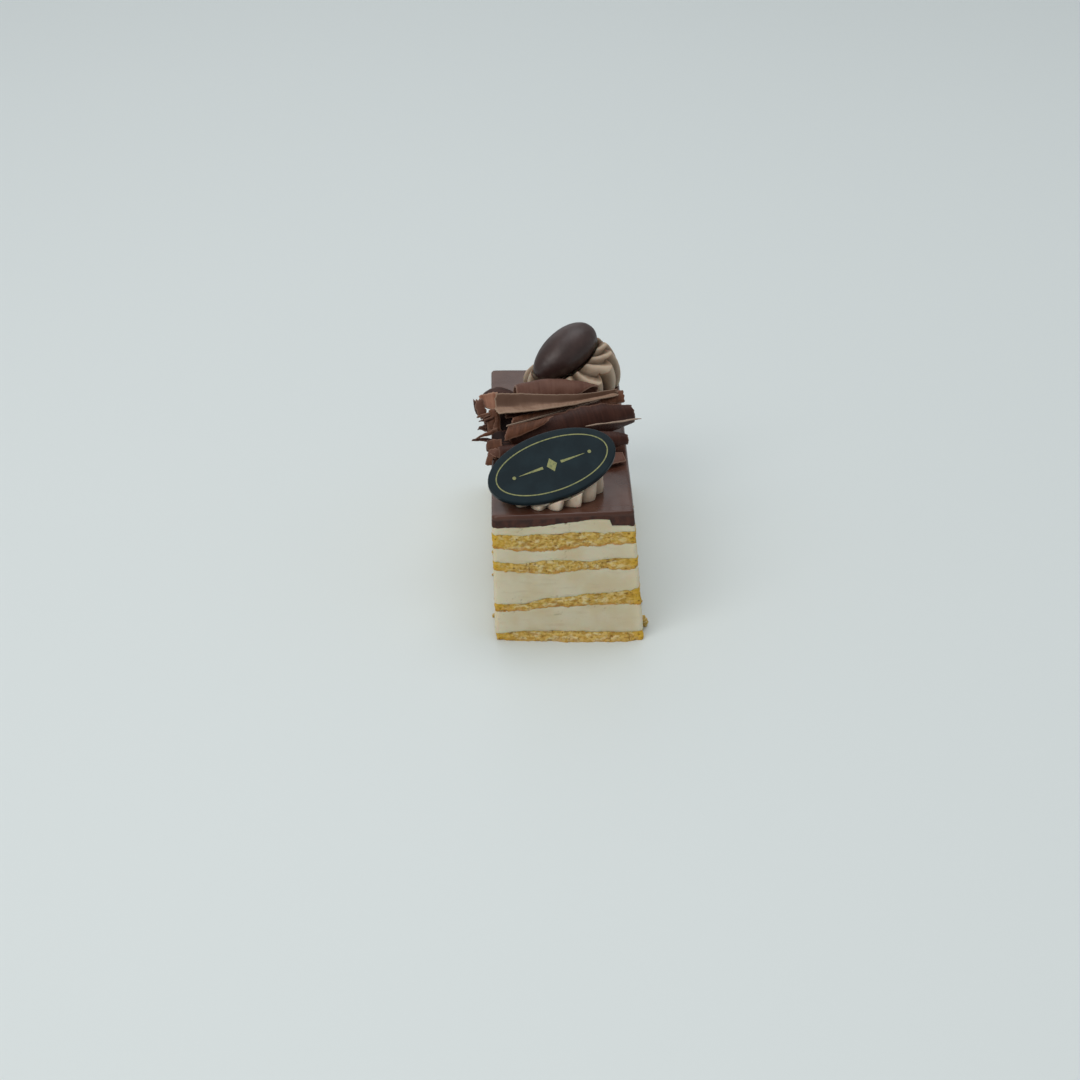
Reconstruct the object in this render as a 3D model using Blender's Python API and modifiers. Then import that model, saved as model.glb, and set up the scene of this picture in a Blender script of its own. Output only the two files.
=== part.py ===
"""Opera cake slice: sponge and coffee cream layers under ganache, two piped rosettes,
chocolate shavings across the middle, an oval chocolate plaque and a coated almond.

Frame: origin at the middle of the base, +Z up, +Y along the slice away from the front
cut face, +X to the right. Lengths below are millimetres and MM turns them into metres.
"""

import math

import bmesh
import bpy
from mathutils import Matrix, Vector, noise

MM = 0.001
GAP = 0.3  # clearance between solids that touch

# The cut block
LENGTH = 104.0
BASE_LEFT, BASE_RIGHT = -20.5, 20.5
TOP_LEFT, TOP_RIGHT = -21.3, 17.3
TOP_HEIGHT = 38.4

# Where the interfaces' front heights are given, as shares of the width from the left
FRONT_STATIONS = (0.0, 0.2, 0.35, 0.5, 0.65, 0.81, 0.835, 0.92, 1.0)

# Each interface from the base up: heights on the front face at those stations
INTERFACES = {
    "base": (0.0, 0.0, 0.0, 0.0, 0.0, 0.0, 0.0, 0.0, 0.0),
    "sponge_1_top": (2.1, 2.9, 2.7, 2.6, 2.4, 2.2, 2.2, 2.3, 2.5),
    "sponge_2_bottom": (8.8, 9.1, 9.7, 10.2, 10.6, 10.9, 10.9, 10.8, 10.7),
    "sponge_2_top": (10.9, 11.2, 12.7, 13.3, 14.0, 14.4, 14.5, 15.1, 15.8),
    "sponge_3_bottom": (21.2, 20.7, 20.1, 20.8, 21.5, 21.7, 21.6, 21.5, 21.8),
    "sponge_3_top": (23.9, 23.3, 24.3, 24.5, 23.9, 24.6, 24.7, 24.8, 24.9),
    "sponge_4_bottom": (28.0, 27.4, 27.0, 27.8, 28.5, 29.0, 29.0, 29.1, 29.2),
    "sponge_4_top": (32.1, 31.9, 32.1, 32.4, 32.7, 32.5, 32.5, 32.7, 32.9),
    "ganache_bottom": (34.4, 34.5, 34.9, 35.7, 36.4, 36.8, 36.2, 35.0, 34.6),
    "top": (37.7, 37.9, 38.1, 38.3, 38.5, 38.8, 38.8, 39.0, 39.1),
}
FRONT_DEPTH = 0.16  # share of the length over which the front heights fade to the rest
WAVE = 0.45  # height of the layers' waves behind the front

LAYERS = (
    # name, lower interface, upper interface, material
    ("sponge_1", "base", "sponge_1_top", "sponge"),
    ("cream_1", "sponge_1_top", "sponge_2_bottom", "cream"),
    ("sponge_2", "sponge_2_bottom", "sponge_2_top", "sponge"),
    ("cream_2", "sponge_2_top", "sponge_3_bottom", "cream"),
    ("sponge_3", "sponge_3_bottom", "sponge_3_top", "sponge"),
    ("cream_3", "sponge_3_top", "sponge_4_bottom", "cream"),
    ("sponge_4", "sponge_4_bottom", "sponge_4_top", "sponge"),
    ("cream_4", "sponge_4_top", "ganache_bottom", "cream"),
    ("ganache", "ganache_bottom", "top", "ganache"),
)
LENGTH_CUTS = 14
CRUMB_RELIEF = 0.35  # how far the sponge's cut faces stand in and out
EDGE_ROUND = 0.5  # how far the ganache's rim draws in

# Piped rosettes: middle on the ganache, radii along X and Y, height, number of lobes, their
# twist from rim to peak, their turn, the depth of the grooves as a share of the radius and
# how far the foot is tucked in below the lobes
ROSETTE_FRONT = {
    "middle": (-4.6, -36.4),
    "radii": (14.6, 14.4),
    "height": 11.5,
    "lobes": 15,
    "twist": 1.3,
    "turn": -0.05,
    "groove": 0.2,
    "tuck": 0.05,
    "low_side": 0.0,
    "low_share": 0.0,
    "carries_almond": False,
}
ROSETTE_BACK = {
    "middle": (3.0, 38.2),
    "radii": (15.3, 14.6),
    "height": 16.2,
    "lobes": 14,
    "twist": -0.65,
    "turn": 0.1,
    "groove": 0.16,
    "tuck": 0.1,
    # angle of the side that is lower, and how much lower as a share of the height
    "low_side": 2.45,
    "low_share": 0.55,
    "carries_almond": True,
}
CREST = 0.66  # share of a lobe's width where its crest stands
PRESS_GAP = 0.45  # clearance between a rosette and what presses it
LEAST_CREAM = 0.25  # thickness left where a rosette is pressed flat
LOBE_RELIEF = 1.3  # how deep the grooves are beside the almond
RIM = 0.86  # share of the sphere's rings that make the dome; the rest close its base

# Oval plaque, leaning on the front rosette
PLAQUE_HALF_LENGTH, PLAQUE_HALF_WIDTH, PLAQUE_THICK = 18.3, 10.0, 2.0
PLAQUE_MIDDLE = (-4.8, -41.2, 47.6)
PLAQUE_LEAN = math.radians(40.0)
PLAQUE_TURN = math.radians(21.3)
BEYOND_PLAQUE_RISE = 1.2  # how steeply the space above a solid opens beside the plaque

# Coated almond on the back rosette: half sizes, middle and the way its blunt end points
ALMOND_HALF = (11.6, 7.2, 6.4)
ALMOND_MIDDLE = (0.6, 37.2, 49.9)
ALMOND_AXIS = (17.0, 12.0, 10.5)
ALMOND_TAPER = 0.12
SHOWN_UNDER_ALMOND = 2.9  # how far below its middle the front of the almond is free

MATERIALS = {
    # colour, roughness
    "sponge": ((0.60, 0.40, 0.13), 0.9),
    "cream": ((0.66, 0.58, 0.42), 0.6),
    "ganache": ((0.11, 0.065, 0.05), 0.3),
    "piped_cream": ((0.34, 0.25, 0.18), 0.6),
    "shaving": ((0.16, 0.085, 0.06), 0.5),
    "plaque": ((0.022, 0.032, 0.042), 0.4),
    "almond": ((0.055, 0.036, 0.032), 0.35),
}


def clear_scene():
    for obj in list(bpy.data.objects):
        bpy.data.objects.remove(obj)


def make_materials():
    made = {}
    for name, (colour, roughness) in MATERIALS.items():
        material = bpy.data.materials.new(name)
        material.use_nodes = True
        shader = material.node_tree.nodes["Principled BSDF"]
        shader.inputs["Base Color"].default_value = (*colour, 1.0)
        shader.inputs["Roughness"].default_value = roughness
        shader.inputs["Metallic"].default_value = 0.0
        made[name] = material
    return made


def make_object(name, bm, material, collection):
    """One named object from a bmesh in millimetres."""
    bmesh.ops.scale(bm, vec=(MM, MM, MM), verts=bm.verts)
    mesh = bpy.data.meshes.new(name)
    bm.to_mesh(mesh)
    bm.free()
    mesh.materials.append(material)
    obj = bpy.data.objects.new(name, mesh)
    collection.objects.link(obj)
    return obj


def blend(a, b, share):
    return a + (b - a) * share


def smooth_step(share):
    share = min(max(share, 0.0), 1.0)
    return share * share * (3 - 2 * share)


def front_height(heights, u):
    """Height on the front face at share u of the width, eased between the stations."""
    for i in range(len(FRONT_STATIONS) - 1):
        low, high = FRONT_STATIONS[i], FRONT_STATIONS[i + 1]
        if u <= high:
            return blend(heights[i], heights[i + 1], smooth_step((u - low) / (high - low)))
    return heights[-1]


def interface_height(name, u, v):
    """Height of an interface at shares u of the width and v of the length."""
    heights = INTERFACES[name]
    if name == "base":
        return 0.0
    mean = sum(heights) / len(heights)
    slope = (heights[-1] - heights[0]) * 0.5
    phase = mean * 0.7
    waves = math.sin(math.tau * (0.6 * u + 1.9 * v) + phase)
    waves += 0.6 * math.sin(math.tau * (1.1 * u - 3.3 * v) + 2 * phase)
    size = WAVE * 0.4 if name == "top" else WAVE
    rest = mean + slope * (u - 0.5) + size * waves
    return blend(front_height(heights, u), rest, smooth_step(v / FRONT_DEPTH))


def side(u, height):
    """X at share u of the width: the cut walls lean to the left as they rise."""
    share = height / TOP_HEIGHT
    left = blend(BASE_LEFT, TOP_LEFT, share)
    right = blend(BASE_RIGHT, TOP_RIGHT, share)
    return blend(left, right, u)


def top_height(x, y):
    """Height of the ganache's top at a point of the plan."""
    u = (x - TOP_LEFT) / (TOP_RIGHT - TOP_LEFT)
    return interface_height("top", min(max(u, 0.0), 1.0), y / LENGTH + 0.5)


def cut_cube(bm, shares, normal):
    """Cuts the unit cube across a direction at each share between 0 and 1."""
    for share in shares:
        bmesh.ops.bisect_plane(
            bm,
            geom=bm.verts[:] + bm.edges[:] + bm.faces[:],
            plane_co=Vector(normal) * (share - 0.5),
            plane_no=normal,
        )


def relief(point, kind, w):
    """How far a wall point stands out: crumb on sponge, a drawn-in rim on ganache."""
    if kind == "sponge" and 0.0 < w < 1.0:
        return CRUMB_RELIEF * noise.noise(point * 0.45)
    if kind == "ganache" and w > 0.99:
        return -EDGE_ROUND
    return 0.0


def make_layer(name, lower, upper, kind, material, collection):
    """A layer that runs through the whole slice, between two interfaces."""
    bm = bmesh.new()
    bmesh.ops.create_cube(bm, size=1.0)
    cut_cube(bm, FRONT_STATIONS[1:-1], (1, 0, 0))
    cut_cube(bm, [i / LENGTH_CUTS for i in range(1, LENGTH_CUTS)], (0, 1, 0))
    cut_cube(bm, (0.85,) if kind == "ganache" else (0.5,), (0, 0, 1))
    under = GAP / 2 if lower != "base" else 0.0
    over = GAP / 2 if upper != "top" else 0.0
    for vert in bm.verts:
        u, v, w = vert.co.x + 0.5, vert.co.y + 0.5, vert.co.z + 0.5
        low = interface_height(lower, u, v) + under
        high = interface_height(upper, u, v) - over
        z = blend(low, high, w)
        point = Vector((side(u, z), (v - 0.5) * LENGTH, z))
        out = Vector((round(2 * u - 1) if u in (0.0, 1.0) else 0, 0, 0))
        if v in (0.0, 1.0):
            out.y = 2 * v - 1
        vert.co = point + out * relief(point, kind, w)
    # Neighbouring layers split their faces alike, so that the gap between them stays open.
    bmesh.ops.triangulate(bm, faces=bm.faces, quad_method="SHORT_EDGE")
    return make_object(name, bm, material, collection)


def plaque_frame():
    """The plaque's own axes: X along the oval, Y up its face, Z out of its face."""
    lean = Matrix.Rotation(PLAQUE_LEAN, 4, "X")
    turn = Matrix.Rotation(PLAQUE_TURN, 4, "Z")
    return Matrix.Translation(PLAQUE_MIDDLE) @ lean @ turn


def plaque_underside(x, y):
    """Highest a solid may reach under the plaque; beyond the oval the limit rises again."""
    frame = plaque_frame()
    normal = frame.to_3x3() @ Vector((0, 0, 1))
    middle = Vector(PLAQUE_MIDDLE) - normal * (PLAQUE_THICK / 2)
    height = middle.z - ((x - middle.x) * normal.x + (y - middle.y) * normal.y) / normal.z
    on_face = frame.inverted() @ Vector((x, y, height))
    reach = math.hypot(on_face.x / PLAQUE_HALF_LENGTH, on_face.y / PLAQUE_HALF_WIDTH)
    beyond = max(reach - 1.03, 0.0) * PLAQUE_HALF_WIDTH
    return height + beyond * BEYOND_PLAQUE_RISE


def almond_frame():
    """The almond's own axes: X towards its blunt end, Z its thin way, nearly up."""
    along = Vector(ALMOND_AXIS).normalized()
    across = Vector((0, 0, 1)).cross(along).normalized()
    up = along.cross(across)
    turned = Matrix((along, across, up)).transposed().to_4x4()
    return Matrix.Translation(ALMOND_MIDDLE) @ turned


def before_almond(x, y):
    """Height of the cream's crests on the front side of the almond, along its axis."""
    along = Vector(ALMOND_AXIS[:2])
    slope = ALMOND_AXIS[2] / along.length
    along.normalize()
    off = Vector((x - ALMOND_MIDDLE[0], y - ALMOND_MIDDLE[1]))
    ahead = off.x * along.y - off.y * along.x
    if ahead < 0:
        return math.inf
    return ALMOND_MIDDLE[2] - SHOWN_UNDER_ALMOND + slope * off.dot(along) - 0.045 * ahead ** 1.7


def almond_underside(x, y):
    """Highest a solid may reach under the almond; beside it the limit rises again."""
    swollen = [1 / (half * (1 + ALMOND_TAPER / 2) + GAP) for half in ALMOND_HALF]
    to_unit = Matrix.Diagonal((*swollen, 1.0)) @ almond_frame().inverted()
    start = to_unit @ Vector((x, y, 0.0))
    step = to_unit.to_3x3() @ Vector((0, 0, 1))
    a, b, c = step.dot(step), 2 * start.dot(step), start.dot(start) - 1.0
    inside = b * b - 4 * a * c
    rise = -math.sqrt(inside) if inside > 0 else math.sqrt(-inside)
    return (rise - b) / (2 * a)


def lobe_crest(place):
    """Share of a lobe's fullness across it: a slow rise to its crest, then a quick drop."""
    if place < CREST:
        return math.sin(math.pi / 2 * place / CREST) ** 0.9
    return math.cos(math.pi / 2 * (place - CREST) / (1 - CREST)) ** 0.9


def rosette_profile(share, tuck):
    """(radius, height) shares of the outline, from the peak at 0 to the rim at 1."""
    angle = share * math.pi / 2
    height = max(math.cos(angle), 0.0) ** 0.9
    return math.sin(angle) ** 0.72 * (1 - tuck * (1 - height) ** 4), height


def make_rosette(name, spec, pressed_by, material, collection):
    """A star-piped rosette: twisted lobes on a dome, pressed flat under what it carries.

    The sphere's meridians twist with the lobes, so each is a crest, a groove or a flank.
    """
    bm = bmesh.new()
    lobes = spec["lobes"]
    bmesh.ops.create_uvsphere(bm, u_segments=4 * lobes, v_segments=12, radius=1.0)
    cx, cy = spec["middle"]
    for vert in bm.verts:
        rings = math.acos(min(max(vert.co.z, -1.0), 1.0)) / math.pi
        around = math.atan2(vert.co.y, vert.co.x)
        if rings <= RIM:
            radius, height = rosette_profile(rings / RIM, spec["tuck"])
        else:
            radius, height = (1 - spec["tuck"]) * (1 - rings) / (1 - RIM), 0.0
        crest = lobe_crest(round(around * 4 * lobes / math.tau) / 4 % 1.0)
        lobe = 1 - spec["groove"] * (1 - crest) * min(radius * 2, 1.0)
        angle = around + spec["turn"] + spec["twist"] * (1 - min(rings / RIM, 1.0)) ** 2
        x = cx + spec["radii"][0] * radius * lobe * math.cos(angle)
        y = cy + spec["radii"][1] * radius * lobe * math.sin(angle)
        floor = top_height(x, y) + GAP
        low = (0.5 + 0.5 * math.cos(angle - spec["low_side"])) ** 1.5 * min(radius * 1.3, 1.0)
        tall = spec["height"] * (1 - spec["low_share"] * low)
        z = floor + tall * height * (0.8 + 0.2 * lobe)
        if spec["carries_almond"] and z > before_almond(x, y):
            sunk = min((z - before_almond(x, y)) / 1.5, 1.0)
            z = before_almond(x, y) - LOBE_RELIEF * sunk * (1 - crest)
        least = floor + LEAST_CREAM * min(8 * height, 1.0)
        vert.co = (x, y, max(min(z, pressed_by(x, y) - PRESS_GAP), least))
    obj = make_object(name, bm, material, collection)
    obj.data.shade_smooth()
    return obj


def make_plaque(name, material, collection):
    """An oval disc with softened rims."""
    bm = bmesh.new()
    bmesh.ops.create_cone(bm, cap_ends=True, segments=48, radius1=1.0, radius2=1.0, depth=1.0)
    bmesh.ops.scale(bm, vec=(PLAQUE_HALF_LENGTH, PLAQUE_HALF_WIDTH, PLAQUE_THICK), verts=bm.verts)
    bmesh.ops.transform(bm, matrix=plaque_frame(), verts=bm.verts)
    obj = make_object(name, bm, material, collection)
    rims = obj.modifiers.new("rims", "BEVEL")
    rims.width = 0.5 * MM
    rims.segments = 2
    obj.data.shade_smooth()
    obj.data.set_sharp_from_angle(angle=math.radians(40))
    return obj


def make_almond(name, material, collection):
    """An egg-like coated almond, narrower towards one end."""
    bm = bmesh.new()
    bmesh.ops.create_uvsphere(bm, u_segments=28, v_segments=14, radius=1.0)
    long, wide, thin = ALMOND_HALF
    for vert in bm.verts:
        # The sphere's poles lie on Z, so Z becomes the almond's length.
        x, y, z = vert.co.z, vert.co.x, vert.co.y
        taper = 1 + ALMOND_TAPER * (x - 0.5)
        vert.co = (long * x, wide * y * taper, thin * z * taper)
    bmesh.ops.transform(bm, matrix=almond_frame(), verts=bm.verts)
    obj = make_object(name, bm, material, collection)
    obj.data.shade_smooth()
    return obj


# Rolled shavings. Each row of "line" is a station from the left end to the right end:
# X, Y and Z of the roll's axis, then its radius, then the angles where the sheet's free
# edge and its inner edge lie. Round a roll that runs to the right, 0 faces the front, 90
# is up and 180 the back. The sheet winds in by "inward" of its radius on the way.
ROLLS = {
    "curl_back": {
        "line": (
            (-14.8, 16.4, 43.4, 4.1, -70, 235),
            (-6.0, 17.0, 44.2, 4.8, -70, 240),
            (2.5, 18.0, 43.9, 4.3, -20, 245),
            (10.8, 19.4, 42.7, 3.1, 62, 250),
        ),
        "inward": 0.1,
        "thick": 0.7,
    },
    "curl_ribbed": {
        "line": (
            (-17.5, -12.5, 42.6, 2.6, 100, -285),
            (-5.0, -7.6, 43.7, 4.3, 100, -285),
            (7.5, -2.0, 44.3, 5.0, 100, -285),
            (19.8, 3.0, 44.2, 2.7, 100, -285),
        ),
        "inward": 0.36,
        "thick": 0.6,
    },
    "curl_under": {
        "line": (
            (-12.2, -0.6, 43.4, 4.3, 120, -230),
            (-1.0, 5.0, 43.7, 4.6, 120, -230),
            (10.6, 10.6, 43.0, 3.6, 120, -230),
        ),
        "inward": 0.2,
        "thick": 0.7,
    },
    "curl_arch": {
        "line": (
            (-19.3, 1.8, 44.4, 5.1, 205, -75),
            (-19.0, 5.6, 44.7, 5.5, 205, -75),
            (-18.8, 9.6, 44.8, 5.8, 205, -75),
        ),
        "inward": 0.06,
        "thick": 0.7,
    },
    "curl_right": {
        "line": (
            (7.0, -13.0, 42.6, 3.0, -60, 250),
            (12.5, -12.2, 42.8, 2.4, -60, 270),
            (17.8, -11.4, 42.6, 1.4, -60, 290),
        ),
        "inward": 0.2,
        "thick": 0.5,
    },
    "curl_left": {
        "line": (
            (-19.8, -18.2, 41.3, 1.8, -40, 240),
            (-14.5, -17.6, 41.5, 2.0, -40, 240),
            (-9.0, -17.0, 41.7, 2.2, -40, 240),
        ),
        "inward": 0.1,
        "thick": 0.5,
    },
    "curl_corner": {
        "line": (
            (-23.0, -12.6, 41.3, 1.5, -80, 220),
            (-20.8, -12.9, 41.5, 1.7, -80, 220),
            (-18.8, -13.2, 41.5, 1.5, -80, 220),
        ),
        "inward": 0.1,
        "thick": 0.5,
    },
}

# Leaves: thin sheets between a near and a far edge, bulging by "bulge" between them.
LEAVES = {
    "shaving_trough": {
        "near": ((-19.9, -11.1, 50.4), (-10.3, -9.4, 50.4), (2.0, -3.9, 50.0), (16.2, 3.8, 49.9)),
        "far": ((-21.0, -1.8, 53.0), (-12.0, -0.2, 52.2), (3.0, 0.9, 51.4), (15.8, 5.8, 51.0)),
        "bulge": (-1.6, -1.3, -0.7, -0.5),
        "thick": 0.7,
    },
    "shaving_strip": {
        "near": ((-16.5, -12.9, 47.8), (-7.4, -7.0, 47.8), (4.2, 0.9, 47.8), (16.6, 8.6, 48.1)),
        "far": ((-15.8, -10.6, 48.8), (-7.0, -4.6, 48.8), (4.2, 3.2, 48.7), (16.2, 10.4, 48.8)),
        "bulge": (0.3, 0.3, 0.3, 0.3),
        "thick": 0.6,
    },
    "shaving_edge": {
        "near": ((4.6, -11.0, 46.4), (14.0, -7.9, 46.2), (21.2, -5.4, 46.2)),
        "far": ((6.5, -9.4, 45.6), (14.0, -5.9, 45.2), (20.2, -4.6, 45.8)),
        "bulge": (0.2, 0.2, 0.1),
        "thick": 0.5,
    },
    "shaving_flat": {
        "near": ((8.5, -25.0, 39.8), (13.0, -23.2, 39.8), (16.8, -21.0, 39.9)),
        "far": ((9.0, -17.6, 41.0), (13.0, -17.2, 41.2), (15.8, -17.0, 41.0)),
        "bulge": (0.2, 0.3, 0.2),
        "thick": 0.5,
    },
    "shaving_left": {
        "near": ((-25.8, -3.0, 42.4), (-20.0, -4.7, 40.9), (-13.6, -6.2, 39.2)),
        "far": ((-25.4, -2.2, 42.9), (-20.0, -0.4, 42.2), (-13.6, -4.4, 39.8)),
        "bulge": (0.1, 0.5, 0.1),
        "thick": 0.5,
    },
    "shaving_spike": {
        "near": ((-27.3, -11.2, 42.2), (-23.0, -9.8, 41.2), (-17.6, -8.9, 39.2)),
        "far": ((-27.0, -10.6, 42.4), (-23.0, -8.0, 41.8), (-17.6, -7.2, 39.5)),
        "bulge": (0.1, 0.2, 0.1),
        "thick": 0.5,
    },
    "shaving_flap": {
        "near": ((-26.5, 6.4, 48.4), (-26.3, 4.6, 46.4), (-25.6, 2.8, 44.2)),
        "far": ((-24.2, 1.0, 48.8), (-23.6, 0.9, 46.2), (-23.4, 0.7, 43.4)),
        "bulge": (0.2, 0.3, 0.2),
        "thick": 0.5,
    },
}
ROUGH_END = 0.9  # how far a shaving's ends are broken back


def spline(values, share):
    """A smooth curve through equally spaced values, each a number or a tuple."""
    place = min(max(share, 0.0), 1.0) * (len(values) - 1)
    i = min(int(place), len(values) - 2)
    f = place - i
    points = [Vector(value) for value in values]
    p1, p2 = points[i], points[i + 1]
    p0 = points[i - 1] if i > 0 else p1 * 2 - p2
    p3 = points[i + 2] if i + 2 < len(points) else p2 * 2 - p1
    curve = p1 * 2 + (p2 - p0) * f
    curve += (p0 * 2 - p1 * 5 + p2 * 4 - p3) * f * f
    curve += (p1 * 3 - p0 - p2 * 3 + p3) * f * f * f
    return curve * 0.5


def roll_point(spec, s, t):
    """A point of a roll's sheet, s along its axis and t from the free edge inwards."""
    line = spec["line"]
    start, end = Vector(line[0][:3]), Vector(line[-1][:3])
    along = (end - start).normalized()
    up = (Vector((0, 0, 1)) - along * along.z).normalized()
    front = along.cross(up)
    x, y, z, radius, free, inner = spline(line, s)
    angle = math.radians(blend(free, inner, t))
    radius *= 1 - spec["inward"] * t
    return Vector((x, y, z)) + (front * math.cos(angle) + up * math.sin(angle)) * radius


def leaf_point(spec, s, t):
    """A point of a leaf, s along its edges and t from the near one to the far one."""
    near, far = spline(spec["near"], s), spline(spec["far"], s)
    bulge = spline([(value, 0) for value in spec["bulge"]], s).x
    along = spline(spec["near"], 1.0) - spline(spec["near"], 0.0)
    out = along.cross(far - near).normalized()
    return near.lerp(far, t) + out * (bulge * 4 * t * (1 - t))


def rough_share(s, t, length, phase):
    """s drawn in at both ends by an uneven amount, so that the ends look broken."""
    left = ROUGH_END * (0.5 + 0.5 * math.sin(9 * t + phase))
    right = ROUGH_END * (0.5 + 0.5 * math.sin(11 * t + 2 * phase))
    return blend(left / length, 1 - right / length, s)


def make_shaving(name, spec, place, length, along_cuts, around_cuts, material, collection):
    """A shaving: a flat grid that place() maps, given the sheet's thickness."""
    bm = bmesh.new()
    bmesh.ops.create_grid(bm, x_segments=along_cuts, y_segments=around_cuts, size=0.5)
    for vert in bm.verts:
        s, t = vert.co.x + 0.5, vert.co.y + 0.5
        vert.co = place(spec, rough_share(s, t, length, length), t)
    obj = make_object(name, bm, material, collection)
    sheet = obj.modifiers.new("sheet", "SOLIDIFY")
    sheet.thickness = spec["thick"] * MM
    sheet.offset = 0.0
    obj.data.shade_smooth()
    return obj


def make_shavings(material, collection):
    for name, spec in ROLLS.items():
        line = spec["line"]
        length = (Vector(line[-1][:3]) - Vector(line[0][:3])).length
        turn = max(abs(station[5] - station[4]) for station in line)
        cuts = max(3, round(length / 4.5)), max(5, round(turn / 26))
        make_shaving(name, spec, roll_point, length, *cuts, material, collection)
    for name, spec in LEAVES.items():
        length = (Vector(spec["near"][-1]) - Vector(spec["near"][0])).length
        cuts = max(3, round(length / 3.0)), 4
        make_shaving(name, spec, leaf_point, length, *cuts, material, collection)


def main():
    clear_scene()
    collection = bpy.data.collections.new("opera_cake_slice")
    bpy.context.scene.collection.children.link(collection)
    materials = make_materials()
    for name, lower, upper, kind in LAYERS:
        make_layer(name, lower, upper, kind, materials[kind], collection)
    piped = materials["piped_cream"]
    make_rosette("rosette_front", ROSETTE_FRONT, plaque_underside, piped, collection)
    make_rosette("rosette_back", ROSETTE_BACK, almond_underside, piped, collection)
    make_plaque("plaque", materials["plaque"], collection)
    make_almond("almond", materials["almond"], collection)
    make_shavings(materials["shaving"], collection)


main()
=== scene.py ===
import math
import random

import bpy
import numpy as np
from mathutils import Matrix, Vector, noise


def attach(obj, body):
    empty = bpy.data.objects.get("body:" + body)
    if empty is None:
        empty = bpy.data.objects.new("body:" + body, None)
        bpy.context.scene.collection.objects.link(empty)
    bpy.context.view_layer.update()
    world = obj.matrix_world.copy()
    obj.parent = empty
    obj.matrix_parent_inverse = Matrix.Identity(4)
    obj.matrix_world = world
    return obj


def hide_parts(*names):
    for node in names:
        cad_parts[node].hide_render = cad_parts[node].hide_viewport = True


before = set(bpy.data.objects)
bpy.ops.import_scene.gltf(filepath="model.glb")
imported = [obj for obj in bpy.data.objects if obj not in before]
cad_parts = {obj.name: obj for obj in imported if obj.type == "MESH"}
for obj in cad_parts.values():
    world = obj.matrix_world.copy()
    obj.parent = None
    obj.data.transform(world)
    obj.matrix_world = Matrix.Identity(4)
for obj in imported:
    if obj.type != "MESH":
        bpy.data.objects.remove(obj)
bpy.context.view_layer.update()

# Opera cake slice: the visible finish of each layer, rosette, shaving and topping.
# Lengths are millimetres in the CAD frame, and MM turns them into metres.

MM = 0.001
BODY = "root"

# The cut block, as in the CAD model
LENGTH = 104.0
BASE_LEFT, BASE_RIGHT = -20.5, 20.5
TOP_LEFT, TOP_RIGHT = -21.3, 17.3
TOP_HEIGHT = 38.4
FRONT_STATIONS = (0.0, 0.2, 0.35, 0.5, 0.65, 0.81, 0.835, 0.92, 1.0)
INTERFACES = {
    "base": (0.0, 0.0, 0.0, 0.0, 0.0, 0.0, 0.0, 0.0, 0.0),
    "sponge_1_top": (2.1, 2.9, 2.7, 2.6, 2.4, 2.2, 2.2, 2.3, 2.5),
    "sponge_2_bottom": (8.8, 9.1, 9.7, 10.2, 10.6, 10.9, 10.9, 10.8, 10.7),
    "sponge_2_top": (10.9, 11.2, 12.7, 13.3, 14.0, 14.4, 14.5, 15.1, 15.8),
    "sponge_3_bottom": (21.2, 20.7, 20.1, 20.8, 21.5, 21.7, 21.6, 21.5, 21.8),
    "sponge_3_top": (23.9, 23.3, 24.3, 24.5, 23.9, 24.6, 24.7, 24.8, 24.9),
    "sponge_4_bottom": (28.0, 27.4, 27.0, 27.8, 28.5, 29.0, 29.0, 29.1, 29.2),
    "sponge_4_top": (32.1, 31.9, 32.1, 32.4, 32.7, 32.5, 32.5, 32.7, 32.9),
    "ganache_bottom": (34.4, 34.5, 34.9, 35.7, 36.4, 36.8, 36.2, 35.0, 34.6),
    "top": (37.7, 37.9, 38.1, 38.3, 38.5, 38.8, 38.8, 39.0, 39.1),
}
GANACHE_STEP = (36.9, 35.0)  # heights of the ganache's lower edge in front, beside its step
FRONT_DEPTH = 0.16  # share of the length over which the front's heights fade out
# How far the foot stands out in front, at the stations above
FRONT_FOOT = (0.2, 0.8, 1.2, 1.7, 1.75, 1.7, 1.65, 1.4, 0.9)
FRONT_FOOT_HEIGHT = 2.4
# How far the foot is worn back along its walls, how much more at the corners, and up to where
FOOT_WEAR, CORNER_WEAR, WEAR_HEIGHT = 0.35, 0.55, 1.6
WAVE = 0.45  # height of the layers' waves behind the front
LAYERS = (
    # name, lower interface, upper interface, material, strength of the baked line
    ("sponge_1", "base", "sponge_1_top", "sponge", 0.45),
    ("cream_1", "sponge_1_top", "sponge_2_bottom", "cream", 0.0),
    ("sponge_2", "sponge_2_bottom", "sponge_2_top", "sponge", 0.85),
    ("cream_2", "sponge_2_top", "sponge_3_bottom", "cream", 0.0),
    ("sponge_3", "sponge_3_bottom", "sponge_3_top", "sponge", 0.6),
    ("cream_3", "sponge_3_top", "sponge_4_bottom", "cream", 0.0),
    ("sponge_4", "sponge_4_bottom", "sponge_4_top", "sponge", 1.0),
    ("cream_4", "sponge_4_top", "ganache_bottom", "cream", 0.0),
)
SPONGE_GRID, CREAM_GRID, GANACHE_GRID = 0.24, 0.34, 0.42
CORNER = 1.1  # radius of the block's upright edges
SEAM = 0.06  # how far neighbouring layers reach into each other
RIM_ROUND = 0.75  # radius of the ganache's upper rim

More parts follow.
